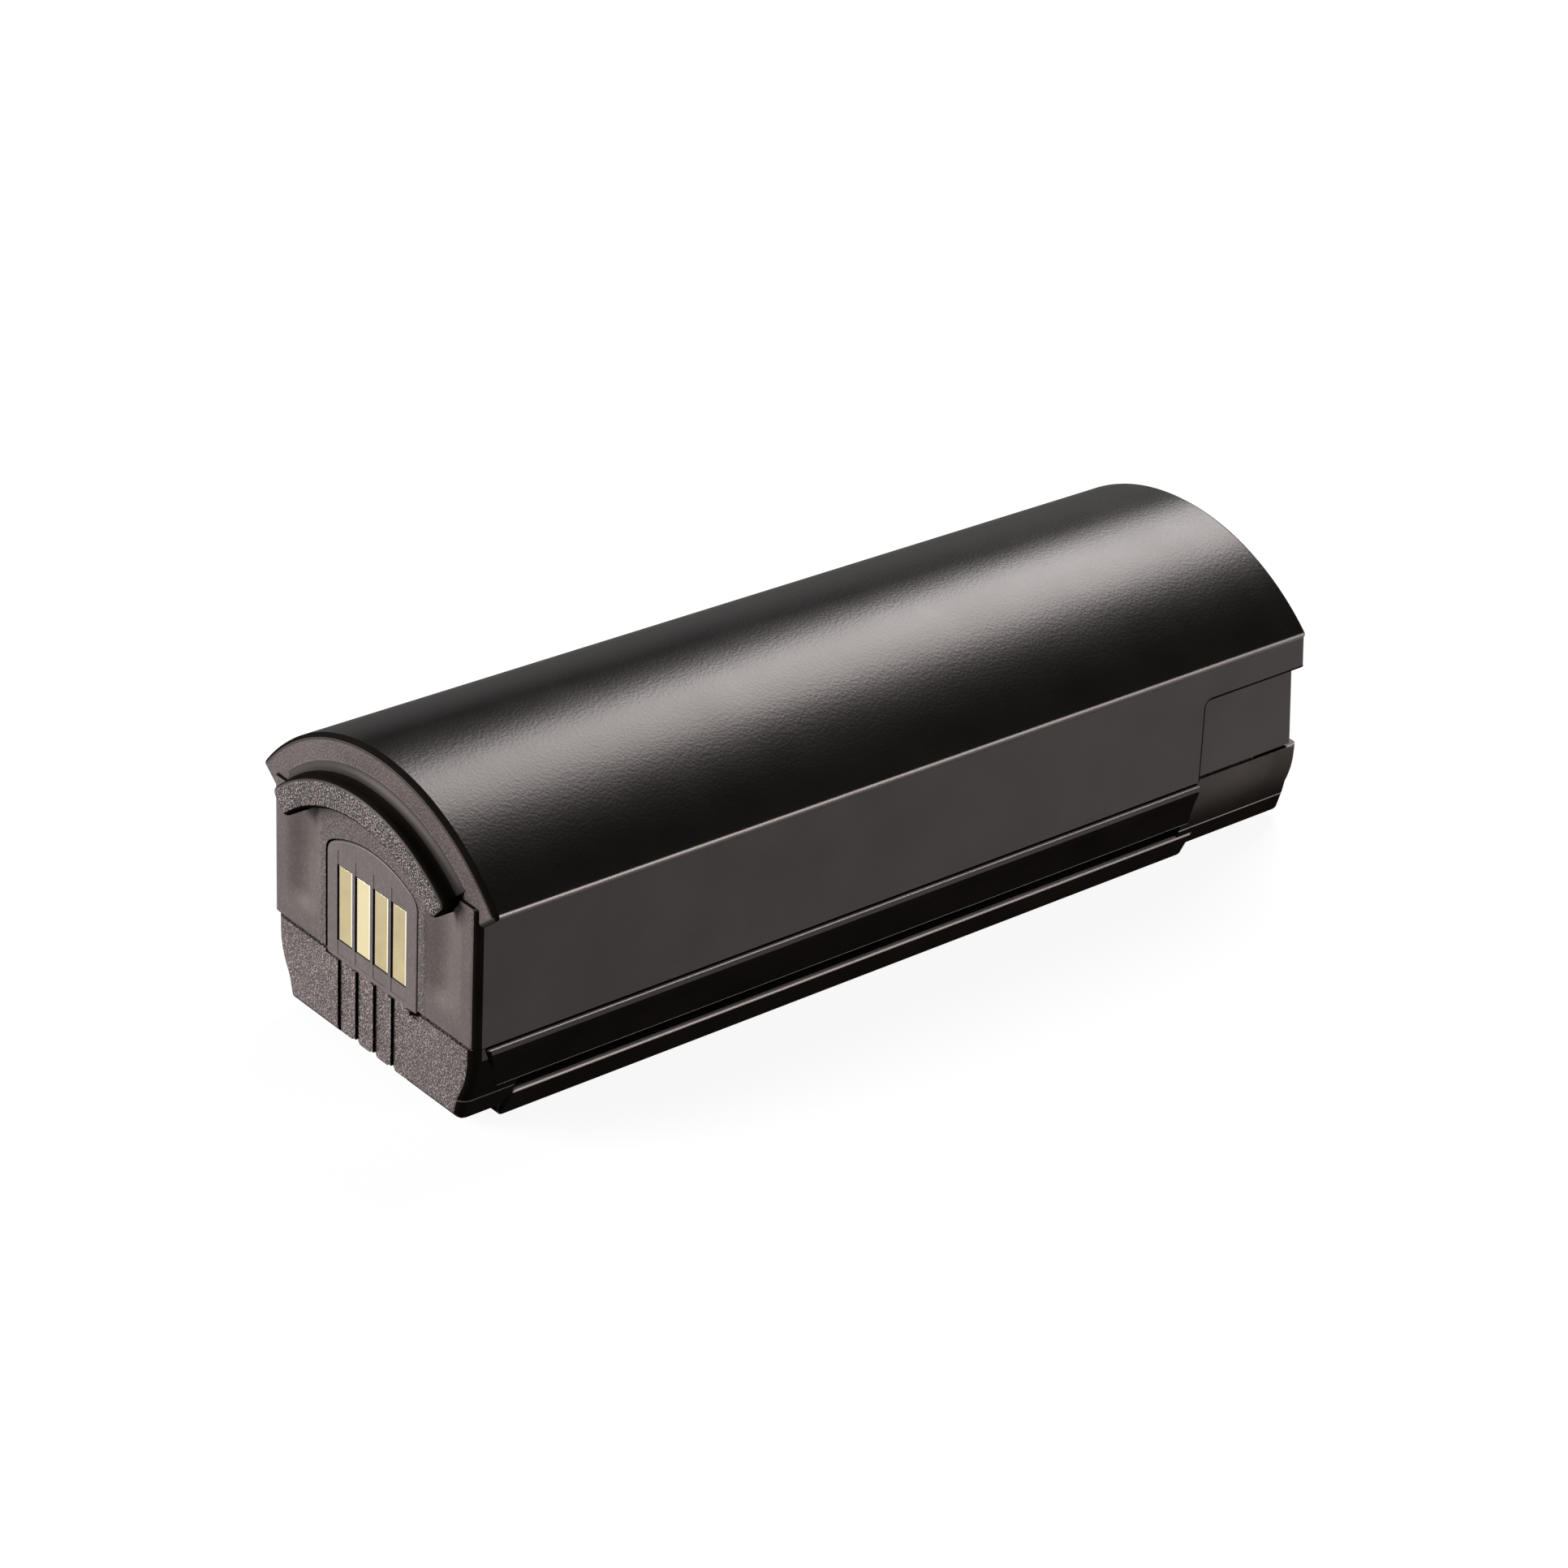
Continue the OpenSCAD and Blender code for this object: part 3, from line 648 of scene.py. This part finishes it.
# ---------------------------------------------------------------- shader groups
def shader_group(name, inputs, outputs):
    """An empty shader node group with its named sockets, and its input and output nodes."""
    tree = bpy.data.node_groups.new(name, "ShaderNodeTree")
    for socket, kind, value in inputs:
        made = tree.interface.new_socket(socket, in_out="INPUT", socket_type="NodeSocket" + kind)
        if value is not None:
            made.default_value = value
    for socket, kind in outputs:
        tree.interface.new_socket(socket, in_out="OUTPUT", socket_type="NodeSocket" + kind)
    return tree, tree.nodes.new("NodeGroupInput"), tree.nodes.new("NodeGroupOutput")


def math(tree, operation, a, b, clamp=False):
    """A math node on sockets or numbers, giving its result socket."""
    node = tree.nodes.new("ShaderNodeMath")
    node.operation = operation
    node.use_clamp = clamp
    for socket, value in zip(node.inputs, (a, b)):
        if isinstance(value, (int, float)):
            socket.default_value = value
        else:
            tree.links.new(value, socket)
    return node.outputs[0]


def mix_colour(tree, factor, a, b):
    """Colour a where the factor is 0 and b where it is 1."""
    node = tree.nodes.new("ShaderNodeMix")
    node.data_type = "RGBA"
    for socket, value in ((node.inputs["Factor"], factor), (node.inputs[6], a), (node.inputs[7], b)):
        if isinstance(value, (tuple, float, int)):
            socket.default_value = value
        else:
            tree.links.new(value, socket)
    return node.outputs[2]


def blend(tree, factor, a, b):
    """Value a where the factor is 0 and b where it is 1."""
    rest = math(tree, "SUBTRACT", 1, factor)
    return math(tree, "ADD", math(tree, "MULTIPLY", rest, a), math(tree, "MULTIPLY", factor, b))


def ramp(tree, value, low, high, start=0, end=1, smooth=False):
    """Goes from start to end while the value goes from low to high."""
    node = tree.nodes.new("ShaderNodeMapRange")
    if smooth:
        node.interpolation_type = "SMOOTHSTEP"
    tree.links.new(value, node.inputs["Value"])
    for name, number in (("From Min", low), ("From Max", high), ("To Min", start), ("To Max", end)):
        node.inputs[name].default_value = number
    return node.outputs["Result"]


def noise(tree, vector, scale, detail, roughness=0.5):
    """The value of a noise texture, from 0 to 1."""
    node = tree.nodes.new("ShaderNodeTexNoise")
    node.inputs["Detail"].default_value = detail
    node.inputs["Roughness"].default_value = roughness
    tree.links.new(vector, node.inputs["Vector"])
    tree.links.new(scale, node.inputs["Scale"])
    return node.outputs["Fac"]


def separated(tree, vector):
    """The three sockets of a vector."""
    node = tree.nodes.new("ShaderNodeSeparateXYZ")
    tree.links.new(vector, node.inputs["Vector"])
    return node.outputs


def grain_group():
    """Spark-eroded mould grain: rounded pits of one size over a finer roughness, and pale specks."""
    tree, given, result = shader_group(
        "mould_grain", (("Vector", "Vector", None), ("Size", "Float", 0.3), ("Fineness", "Float", 0.5)),
        (("Height", "Float"), ("Specks", "Float")))
    vector = given.outputs["Vector"]
    scale = math(tree, "DIVIDE", 1 / MM, given.outputs["Size"])
    pits = tree.nodes.new("ShaderNodeTexVoronoi")
    pits.feature = "SMOOTH_F1"
    pits.inputs["Smoothness"].default_value = 0.6
    tree.links.new(vector, pits.inputs["Vector"])
    tree.links.new(scale, pits.inputs["Scale"])
    rough = math(tree, "MULTIPLY", noise(tree, vector, scale, 3, 0.6), given.outputs["Fineness"])
    tree.links.new(math(tree, "ADD", pits.outputs["Distance"], rough), result.inputs["Height"])
    fine = noise(tree, vector, math(tree, "MULTIPLY", scale, 1.5), 1.5)
    tree.links.new(ramp(tree, fine, 0.48, 0.72), result.inputs["Specks"])
    return tree


def handling_group():
    """Slow, faint changes over a surface, from moulding and handling: of gloss, and a mask for its shade."""
    tree, given, result = shader_group(
        "handling", (("Vector", "Vector", None), ("Size", "Float", 6.0), ("Amount", "Float", 0.1)),
        (("Mask", "Float"), ("Gloss", "Float")))
    slow = noise(tree, given.outputs["Vector"], math(tree, "DIVIDE", 1 / MM, given.outputs["Size"]), 4)
    centred = math(tree, "SUBTRACT", slow, 0.5)
    tree.links.new(math(tree, "MULTIPLY", centred, given.outputs["Amount"]), result.inputs["Gloss"])
    tree.links.new(slow, result.inputs["Mask"])
    return tree


GRAIN = grain_group()
HANDLING = handling_group()


def placed_group(tree, group, vector, **values):
    """A shader group in a material, at a place, with its other inputs as given."""
    node = tree.nodes.new("ShaderNodeGroup")
    node.node_tree = group
    tree.links.new(vector, node.inputs["Vector"])
    for name, value in values.items():
        node.inputs[name].default_value = value
    return node


def linear(r, g, b):
    """A colour given as it is seen, from 0 to 255."""
    shares = (v / 255 for v in (r, g, b))
    return (*(v / 12.92 if v <= 0.04045 else ((v + 0.055) / 1.055) ** 2.4 for v in shares), 1)


def scaled(colour, factor):
    """A colour made lighter or darker by a factor."""
    return tuple(c * factor for c in colour[:3]) + (1,)


def below(tree, value, limit, soft):
    """1 where a coordinate is below a limit in millimetres, falling to 0 over a soft width."""
    return ramp(tree, value, limit * MM, (limit + soft) * MM, 1, 0, smooth=True)


def start_material(name):
    """A new material, its node tree and shader, and the object's own coordinates."""
    mat = bpy.data.materials.new(name)
    mat.use_nodes = True
    tree = mat.node_tree
    shader = tree.nodes["Principled BSDF"]
    coords = tree.nodes.new("ShaderNodeTexCoord")
    return mat, tree, shader, coords.outputs["Object"]


def set_gloss(tree, shader, handled, roughness):
    """Roughness from a number or socket, with the uneven gloss of handling on top."""
    gloss = math(tree, "ADD", handled.outputs["Gloss"], roughness, clamp=True)
    tree.links.new(gloss, shader.inputs["Roughness"])


def set_bump(tree, shader, height, distance):
    """Relief from a height, its full depth in millimetres."""
    bump = tree.nodes.new("ShaderNodeBump")
    bump.inputs["Distance"].default_value = distance * MM
    tree.links.new(height, bump.inputs["Height"])
    tree.links.new(bump.outputs["Normal"], shader.inputs["Normal"])


def moulded(name, zones, specular=0.5):
    """Moulded plastic in zones of (mask, colour, roughness, grain size, grain depth, speckle).

    An earlier zone lies over a later one, and the last, without a mask, lies under the rest.
    """
    mat, tree, shader, coords = start_material(name)
    axes = separated(tree, coords)
    colour, rough, height = None, None, None
    for mask, shade, roughness, size, depth, speckle in reversed(zones):
        grain = placed_group(tree, GRAIN, coords, Size=size)
        here = math(tree, "MULTIPLY", grain.outputs["Height"], depth)
        dark, light = scaled(shade, 1 - speckle / 3), scaled(shade, 1 + speckle)
        shade = mix_colour(tree, grain.outputs["Specks"], dark, light)
        if mask is None:
            colour, rough, height = shade, roughness, here
            continue
        factor = mask(tree, axes)
        colour = mix_colour(tree, factor, colour, shade)
        rough = blend(tree, factor, rough, roughness)
        height = blend(tree, factor, height, here)
    handled = placed_group(tree, HANDLING, coords, Size=5, Amount=0.08)
    grazing = tree.nodes.new("ShaderNodeLayerWeight")
    rim = ramp(tree, grazing.outputs["Facing"], 0.62, 0.85, 0, 0.35)     # grain dulls a flat-angle shine
    set_gloss(tree, shader, handled, math(tree, "ADD", rough, rim))
    shader.distribution = "GGX"
    uneven = tree.nodes.new("ShaderNodeHueSaturation")
    tree.links.new(colour, uneven.inputs["Color"])
    tree.links.new(math(tree, "ADD", handled.outputs["Mask"], 0.5), uneven.inputs["Value"])
    tree.links.new(uneven.outputs["Color"], shader.inputs["Base Color"])
    set_bump(tree, shader, height, 1)
    shader.inputs["Specular IOR Level"].default_value = specular
    shader.inputs["Specular Tint"].default_value = WARM
    return mat


def plain(name, colour, roughness, size, depth, speckle=0.15, specular=0.5):
    """Moulded plastic, or another dull material, of one finish all over."""
    return moulded(name, [(None, colour, roughness, size, depth, speckle)], specular)


def region(x=None, y=None, z=None, over=None, soft=0.06):
    """A mask of what lies below x and z, within y of the middle and above a height, in millimetres."""
    def mask(tree, axes):
        away = math(tree, "ABSOLUTE", axes["Y"], 0)
        parts = [below(tree, value, limit, soft) for value, limit in
                 ((axes["X"], x), (away, y), (axes["Z"], z)) if limit is not None]
        if over is not None:
            parts.append(math(tree, "SUBTRACT", 1, below(tree, axes["Z"], over, soft)))
        out = parts[0]
        for part in parts[1:]:
            out = math(tree, "MULTIPLY", out, part)
        return out
    return mask


def glint_line(tree, coords):
    """A narrow line along one upright edge of each contact, which takes a painted highlight."""
    across = math(tree, "FRACT", math(tree, "DIVIDE", separated(tree, coords)["Y"], PITCH * MM), 0)
    off = math(tree, "ABSOLUTE", math(tree, "SUBTRACT", across, 0.14), 0)
    return ramp(tree, off, 0.02, 0.045, 1, 0, smooth=True)


def metal(name, colour, roughness, brushed=0, fading=0.85, glint=None):
    """Metal or plating, darker in places by a share, and with a painted highlight line of the glint colour if
    there is one.
    """
    mat, tree, shader, coords = start_material(name)
    grain = placed_group(tree, GRAIN, coords, Size=0.4)
    handled = placed_group(tree, HANDLING, coords, Size=2, Amount=0.15)
    set_gloss(tree, shader, handled, roughness)
    shade = mix_colour(tree, handled.outputs["Mask"], colour, scaled(colour, fading))
    if glint:
        shade = mix_colour(tree, glint_line(tree, coords), shade, glint)
    tree.links.new(shade, shader.inputs["Base Color"])
    set_bump(tree, shader, grain.outputs["Height"], brushed)
    shader.inputs["Metallic"].default_value = 1
    return mat


# ---------------------------------------------------------------- finishes
BLACK = linear(10, 9, 8)
# SHADED is the colour of painted shade.
SHADED = linear(19, 16, 14)
SPARKED = linear(75, 68, 66)
PAINTED_HIGHLIGHT = linear(95, 89, 86)
PAINTED_GLINT = linear(250, 248, 240)
WARM = (1, 0.84, 0.82, 1)
# Mask of a thin line along the crease of the base's end blocks, which takes a painted highlight.
crease_line = region(z=base_crease + 0.05, over=base_crease - 0.05, soft=0.03)
cap_black = moulded("satin_black_cap", [
    (region(x=wall - 0.1), linear(82, 75, 73), 0.5, 0.16, 0.08, 3),
    (region(x=wall + 0.04, y=PLATE_HALF + 0.7, soft=0.4), SPARKED, 0.5, 0.16, 0.055, 1.3),
    (region(x=front + 0.03, over=crease - 1.6), SPARKED, 0.5, 0.15, 0.04, 0.8),
    (region(x=wall + 0.9, y=side_half - 0.15, z=crease - 0.6), SPARKED, 0.5, 0.3, 0.006, 0.25),
    # Painted reflection: the flat sides below the crease are a lighter grey than the cap of the same plastic,
    # standing in for the pale floor they mirror.
    (region(z=crease - 0.2), linear(39, 35, 34), 0.3, 0.3, 0.001, 0.05),
    (None, BLACK, 0.33, 0.22, 0.008, 0.3)], 0.25)
# Painted shade: near-black without gloss on corners, rims, hood edges, the wing's underside, recess edges,
# pocket walls and the base's flutes and flanks, where the pack lies in shade. It also darkens the joint line.
joint_and_painted_shade = moulded("dark_joint_and_painted_shade", [
    (crease_line, PAINTED_HIGHLIGHT, 0.4, 0.3, 0.001, 0.05), (None, SHADED, 0.4, 0.3, 0.001, 0.05)], 0)
# Painted shade, half way: a middle grey that steps from lit faces to the painted black.
painted_half_shade = plain("painted_half_shade_black", linear(45, 41, 39), 0.4, 0.3, 0.002, 0.05, 0.1)
# Painted highlight: a pale band on the cap's creases and on the base's lip, ledge and rear-block edges, where
# a lamp shines.
painted_highlight_edge = plain("painted_highlight_black_edge", linear(84, 79, 76), 0.42, 0.3, 0.0005, 0.05, 1)
base_black = moulded("satin_black_base", [
    (region(x=wall + 0.3), linear(88, 80, 78), 0.55, 0.16, 0.07, 2),
    (None, linear(18, 16, 15), 0.3, 0.3, 0.002, 0.05)], 0.3)
# Painted light and shade on the base's rear block: pale at the top and darker downwards, a painted highlight
# along its crease, and painted shade on the chamfer below it.
painted_light_base = moulded("painted_light_and_shade_base", [
    (crease_line, linear(140, 132, 128), 0.4, 0.3, 0.002, 0.05),
    (region(z=base_crease), SHADED, 0.4, 0.3, 0.002, 0.05),
    (region(z=base_crease, soft=4), linear(26, 23, 21), 0.4, 0.3, 0.002, 0.05),
    (None, linear(68, 63, 61), 0.4, 0.3, 0.002, 0.05)], 0)
plate_black = plain("smooth_black_plate", linear(70, 64, 63), 0.5, 0.3, 0.004, 0.3)
contact_gold = metal("pale_gold_plating", linear(216, 199, 154), 0.28, 0.002, 0.55, PAINTED_GLINT)
contact_pale = metal("paler_gold_plating", linear(232, 216, 174), 0.28, 0.002, 0.92, PAINTED_GLINT)
# Painted highlight: near-white plating on the blades' upright edges, standing for the light they catch.
painted_contact_glint = metal("painted_highlight_plating", linear(252, 250, 240), 0.2)
steel = metal("nickel_plated_steel", linear(190, 190, 192), 0.35, 0.004)
nickel = metal("bright_nickel", linear(200, 198, 190), 0.3, 0.004)
foil = metal("wound_foil", linear(150, 110, 85), 0.45, 0.01)
paper = plain("insulating_paper", linear(215, 210, 190), 0.9, 0.2, 0.01, specular=0.2)
sleeve_blue = plain("shrink_film", linear(50, 105, 160), 0.25, 1, 0.002)
board_green = plain("solder_mask", linear(25, 90, 50), 0.3, 0.5, 0.003)
chip_black = plain("moulded_package", linear(28, 28, 29), 0.6, 0.15, 0.006)
ceramic = plain("fired_ceramic", linear(190, 180, 160), 0.5, 0.2, 0.004)
gasket_dark = plain("sealing_ring", linear(45, 45, 50), 0.5, 0.3, 0.002)
foam = plain("closed_cell_foam", linear(50, 50, 53), 0.95, 0.35, 0.05, specular=0.2)

FINISHES = {
    "cell_can": steel, "cell_cap": steel, "electrode_roll": foil, "cell_gasket": gasket_dark,
    "cell_sleeve": sleeve_blue, "end_washer": paper, "strip_insulator": paper, "positive_tab": nickel,
    "negative_strip": nickel, "circuit_board": board_green, "mosfet_pair": chip_black,
    "gauge_chip": chip_black, "shunt_resistor": chip_black, "chip_capacitors": ceramic,
    "thermal_fuse": ceramic, "thermistor": chip_black, "rear_pad": foam}


def dress(obj, nodes, materials, choose):
    """Paints a piece, each face with the finish that choose gives, and lets it stand for its CAD nodes."""
    obj.data.materials.clear()
    for material in materials:
        obj.data.materials.append(material)
    for face in obj.data.polygons:
        face.material_index = materials.index(choose(face.center / MM, face.normal))
    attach(obj, "root")
    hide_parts(*nodes)


def upper_finish(at, normal):
    """Painted shade on the corners, rims and hood edges, a dark joint line, and painted highlights on the
    creases, on a satin shell.
    """
    out = hypot(at.y, at.z - axis_z)
    rise = (normal.y * at.y + normal.z * (at.z - axis_z)) / out
    if at.x < wall + CORNER and abs(at.y) > side_half - CORNER and at.z < shoulder and abs(normal.y) > 0.25:
        return joint_and_painted_shade if abs(normal.y) > 0.55 else painted_half_shade
    if at.x < front + CAP_ROUND and out > ARCH_R - 0.5 and rise > 0.15:
        return joint_and_painted_shade if rise > 0.5 else painted_half_shade
    if at.x > front + CAP_ROUND and out > ARCH_R - 0.4 and abs(normal.y) > 0.05 and 0.05 < normal.z < 0.6:
        return painted_highlight_edge
    if at.x < front + 0.01 and HOOD_R - HOOD_T - 0.3 < out < HOOD_R + 1:
        if out > HOOD_R - 0.6 and rise > 0.25:
            return joint_and_painted_shade if normal.x > -0.6 else painted_half_shade
        if out < HOOD_R - HOOD_T + 0.45 and rise < -0.1 and normal.x > -0.93:
            return joint_and_painted_shade
        if abs(rise) <= 0.5 and normal.x > -0.8:
            return joint_and_painted_shade
    outer = abs(at.y) > side_half - 0.1
    under = outer and at.x < front + 1.5 and crease - 2.2 < at.z < crease - 0.05 and normal.z < -0.2
    joint = at.z < seam_top + 0.1 and normal.z < -0.1
    gap = wall + 0.02 < at.x < inner_x and abs(at.y) < PLATE_HALF + 0.3 and out < PLATE_R + 0.4
    recess = side_half - 0.4 < abs(at.y) < side_half - 0.001 and abs(normal.y) < 0.995
    recess = recess and recess_x - 0.5 < at.x < recess_end - 0.6 and at.z < recess_top + 0.4
    # The joint is the dark joint line; under, gap and recess take painted shade.
    return joint_and_painted_shade if under or joint or gap or recess else cap_black


def base_finish(at, normal):
    """Painted highlights on the upper edges and ledges, painted shade on the flutes, chamfers and front
    flanks, and a dark joint, on the satin base.
    """
    flank = abs(at.y) > side_half - 2 and abs(normal.y) > 0.45
    if flank and (at.x < front + SIDE_START or at.x < front + FRONT_BLOCK and at.z < seam_low - 0.6):
        return joint_and_painted_shade
    if at.x < wall + 0.9 and (normal.z < -0.35 or normal.z > 0.2 and at.z > seam_low - 0.1):
        return joint_and_painted_shade
    if at.x < wall + 0.5 and normal.x < -0.3:
        return base_black
    fluted = at.x < recess_x
    if abs(at.y) > BASE_HALF - 1.2 and front + SIDE_START < at.x < base_end - 0.55:
        if abs(normal.y) > 0.15 and 0.12 < normal.z < 0.99 and at.z < seam_low + 0.01:
            return painted_highlight_edge
        if fluted and abs(at.z - ledge) < 0.13 and -0.97 < normal.z < -0.3:
            return painted_highlight_edge
    if fluted and at.z > seam_low - 0.55 and normal.z > -0.05:
        return base_black
    # The flutes take painted shade; the rear block takes its painted light and shade.
    return joint_and_painted_shade if fluted else painted_light_base


def plate_finish(at, normal):
    """Painted shade on the walls of the contacts' pockets."""
    pocket_wall = abs(normal.y) > 0.5 and abs(at.y) < CONTACTS / 2 * PITCH and wall + 0.02 < at.x < inner_x
    return joint_and_painted_shade if pocket_wall else plate_black


def contact_finish(gold):
    """Chooses a painted highlight on the upright edges and painted shade on the cut ends for a blade with
    this plating.
    """
    def choose(at, normal):
        # The blades' cut ends take the plate's black as painted shade.
        if abs(normal.z) > 0.3:
            return plate_black
        return painted_contact_glint if abs(normal.y) > 0.3 and at.x < contact_face + 0.2 else gold
    return choose


dress(upper_shell(), ["upper_shell"],
      [cap_black, joint_and_painted_shade, painted_half_shade, painted_highlight_edge], upper_finish)
dress(lower_shell(), ["lower_shell"],
      [base_black, joint_and_painted_shade, painted_highlight_edge, painted_light_base], base_finish)
dress(terminal_plate(), ["terminal_block"], [plate_black, joint_and_painted_shade], plate_finish)
for node in ("contact_plus", "contact_sense", "contact_data", "contact_minus"):
    gold = contact_pale if node == "contact_sense" else contact_gold
    dress(contact(node), [node], [gold, painted_contact_glint, plate_black], contact_finish(gold))
for node, material in FINISHES.items():
    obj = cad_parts[node]
    obj.data.materials.clear()
    obj.data.materials.append(material)


# ---------------------------------------------------------------- camera
def direction(azimuth, elevation):
    """Unit vector from the pack towards a point seen at that bearing. Bearing 0 is -Y, 90 is +X."""
    a, e = radians(azimuth), radians(elevation)
    return Vector((sin(a) * cos(e), -cos(a) * cos(e), sin(e)))


VIEW = (-41.28, 27.8)           # bearing and elevation, in degrees
VIEW_ROLL = 3.19
VIEW_DISTANCE = 300.77
VIEW_SHIFT = (1.1, -1.15)       # of the camera, to its right and upwards
TARGET_BACK = 32.82             # point in view: behind the cap's end face, and below the crease
TARGET_DOWN = 4.69
LENS = 100.65


def add_camera():
    """Sets up the camera about the point it looks at."""
    back = direction(*VIEW)
    right = Vector((0, 0, 1)).cross(back).normalized()
    up = back.cross(right)
    roll = radians(VIEW_ROLL)
    right, up = right * cos(roll) + up * sin(roll), up * cos(roll) - right * sin(roll)
    target = Vector((front + TARGET_BACK, 0, crease - TARGET_DOWN))
    place = target + right * VIEW_SHIFT[0] + up * VIEW_SHIFT[1] + back * VIEW_DISTANCE
    data = bpy.data.cameras.new("camera")
    data.lens = LENS
    data.clip_start = 0.01
    camera = bpy.data.objects.new("camera", data)
    bpy.context.scene.collection.objects.link(camera)
    turn = Matrix((right, up, back)).transposed().to_4x4()
    camera.matrix_world = Matrix.Translation(place * MM) @ turn
    bpy.context.scene.camera = camera


# ---------------------------------------------------------------- lights and floor
# name, bearing, elevation, distance in metres, direction of the long side, length, width, power
LAMPS = (
    ("back_strip", 118, 49, 0.6, (1, 0.24, -0.66), 0.36, 0.29, 4.6),
    ("front_left", -122, 18, 0.6, (1, 0, 0), 0.35, 0.35, 7.7),
    ("low_right", 24, 8, 0.6, (1, 0, 0), 0.3, 0.04, 3),
)
WORLD_LEVEL = 0.003
FLOOR_HALF = 3          # half width, in metres
FLOOR_GLOW = 0.92
FLOOR_SHADE = 0.09


def softbox(name, azimuth, elevation, distance, along, length, width, power):
    """A rectangular lamp that faces the pack, its long side as near to a direction as it can be."""
    data = bpy.data.lights.new(name, "AREA")
    data.shape = "RECTANGLE"
    data.size, data.size_y = length, width
    data.energy = power
    light = bpy.data.objects.new(name, data)
    bpy.context.scene.collection.objects.link(light)
    way = direction(azimuth, elevation)
    across = way.cross(Vector(along)).normalized()
    turn = Matrix((across.cross(way), across, way)).transposed().to_4x4()
    light.matrix_world = Matrix.Translation(way * distance) @ turn


def add_stage():
    """A pale floor that glows white to the eye and in reflections, and still takes the pack's shadow."""
    mesh = bpy.data.meshes.new("floor")
    corners = [(x * FLOOR_HALF, y * FLOOR_HALF, 0) for x, y in ((-1, -1), (1, -1), (1, 1), (-1, 1))]
    mesh.from_pydata(corners, [], [(0, 1, 2, 3)])
    floor = bpy.data.objects.new("floor", mesh)
    bpy.context.scene.collection.objects.link(floor)
    mat = bpy.data.materials.new("white_floor")
    mat.use_nodes = True
    tree = mat.node_tree
    tree.nodes.clear()
    matt = tree.nodes.new("ShaderNodeBsdfDiffuse")
    matt.inputs["Color"].default_value = (FLOOR_SHADE, FLOOR_SHADE, FLOOR_SHADE, 1)
    path = tree.nodes.new("ShaderNodeLightPath")
    seen = math(tree, "MAXIMUM", path.outputs["Is Camera Ray"], path.outputs["Is Glossy Ray"])
    seen = math(tree, "MAXIMUM", seen, path.outputs["Is Transmission Ray"])
    glow = tree.nodes.new("ShaderNodeEmission")
    tree.links.new(math(tree, "MULTIPLY", seen, FLOOR_GLOW), glow.inputs["Strength"])
    both = tree.nodes.new("ShaderNodeAddShader")
    out = tree.nodes.new("ShaderNodeOutputMaterial")
    tree.links.new(matt.outputs[0], both.inputs[0])
    tree.links.new(glow.outputs[0], both.inputs[1])
    tree.links.new(both.outputs[0], out.inputs["Surface"])
    mesh.materials.append(mat)


def add_world():
    """A faint, even light from all sides."""
    world = bpy.data.worlds.new("studio")
    bpy.context.scene.world = world
    world.use_nodes = True
    background = world.node_tree.nodes["Background"]
    background.inputs["Strength"].default_value = WORLD_LEVEL
    background.inputs["Color"].default_value = (1, 1, 1, 1)


add_camera()
add_stage()
add_world()
for lamp in LAMPS:
    softbox(*lamp)
bpy.context.scene.view_settings.view_transform = "Standard"
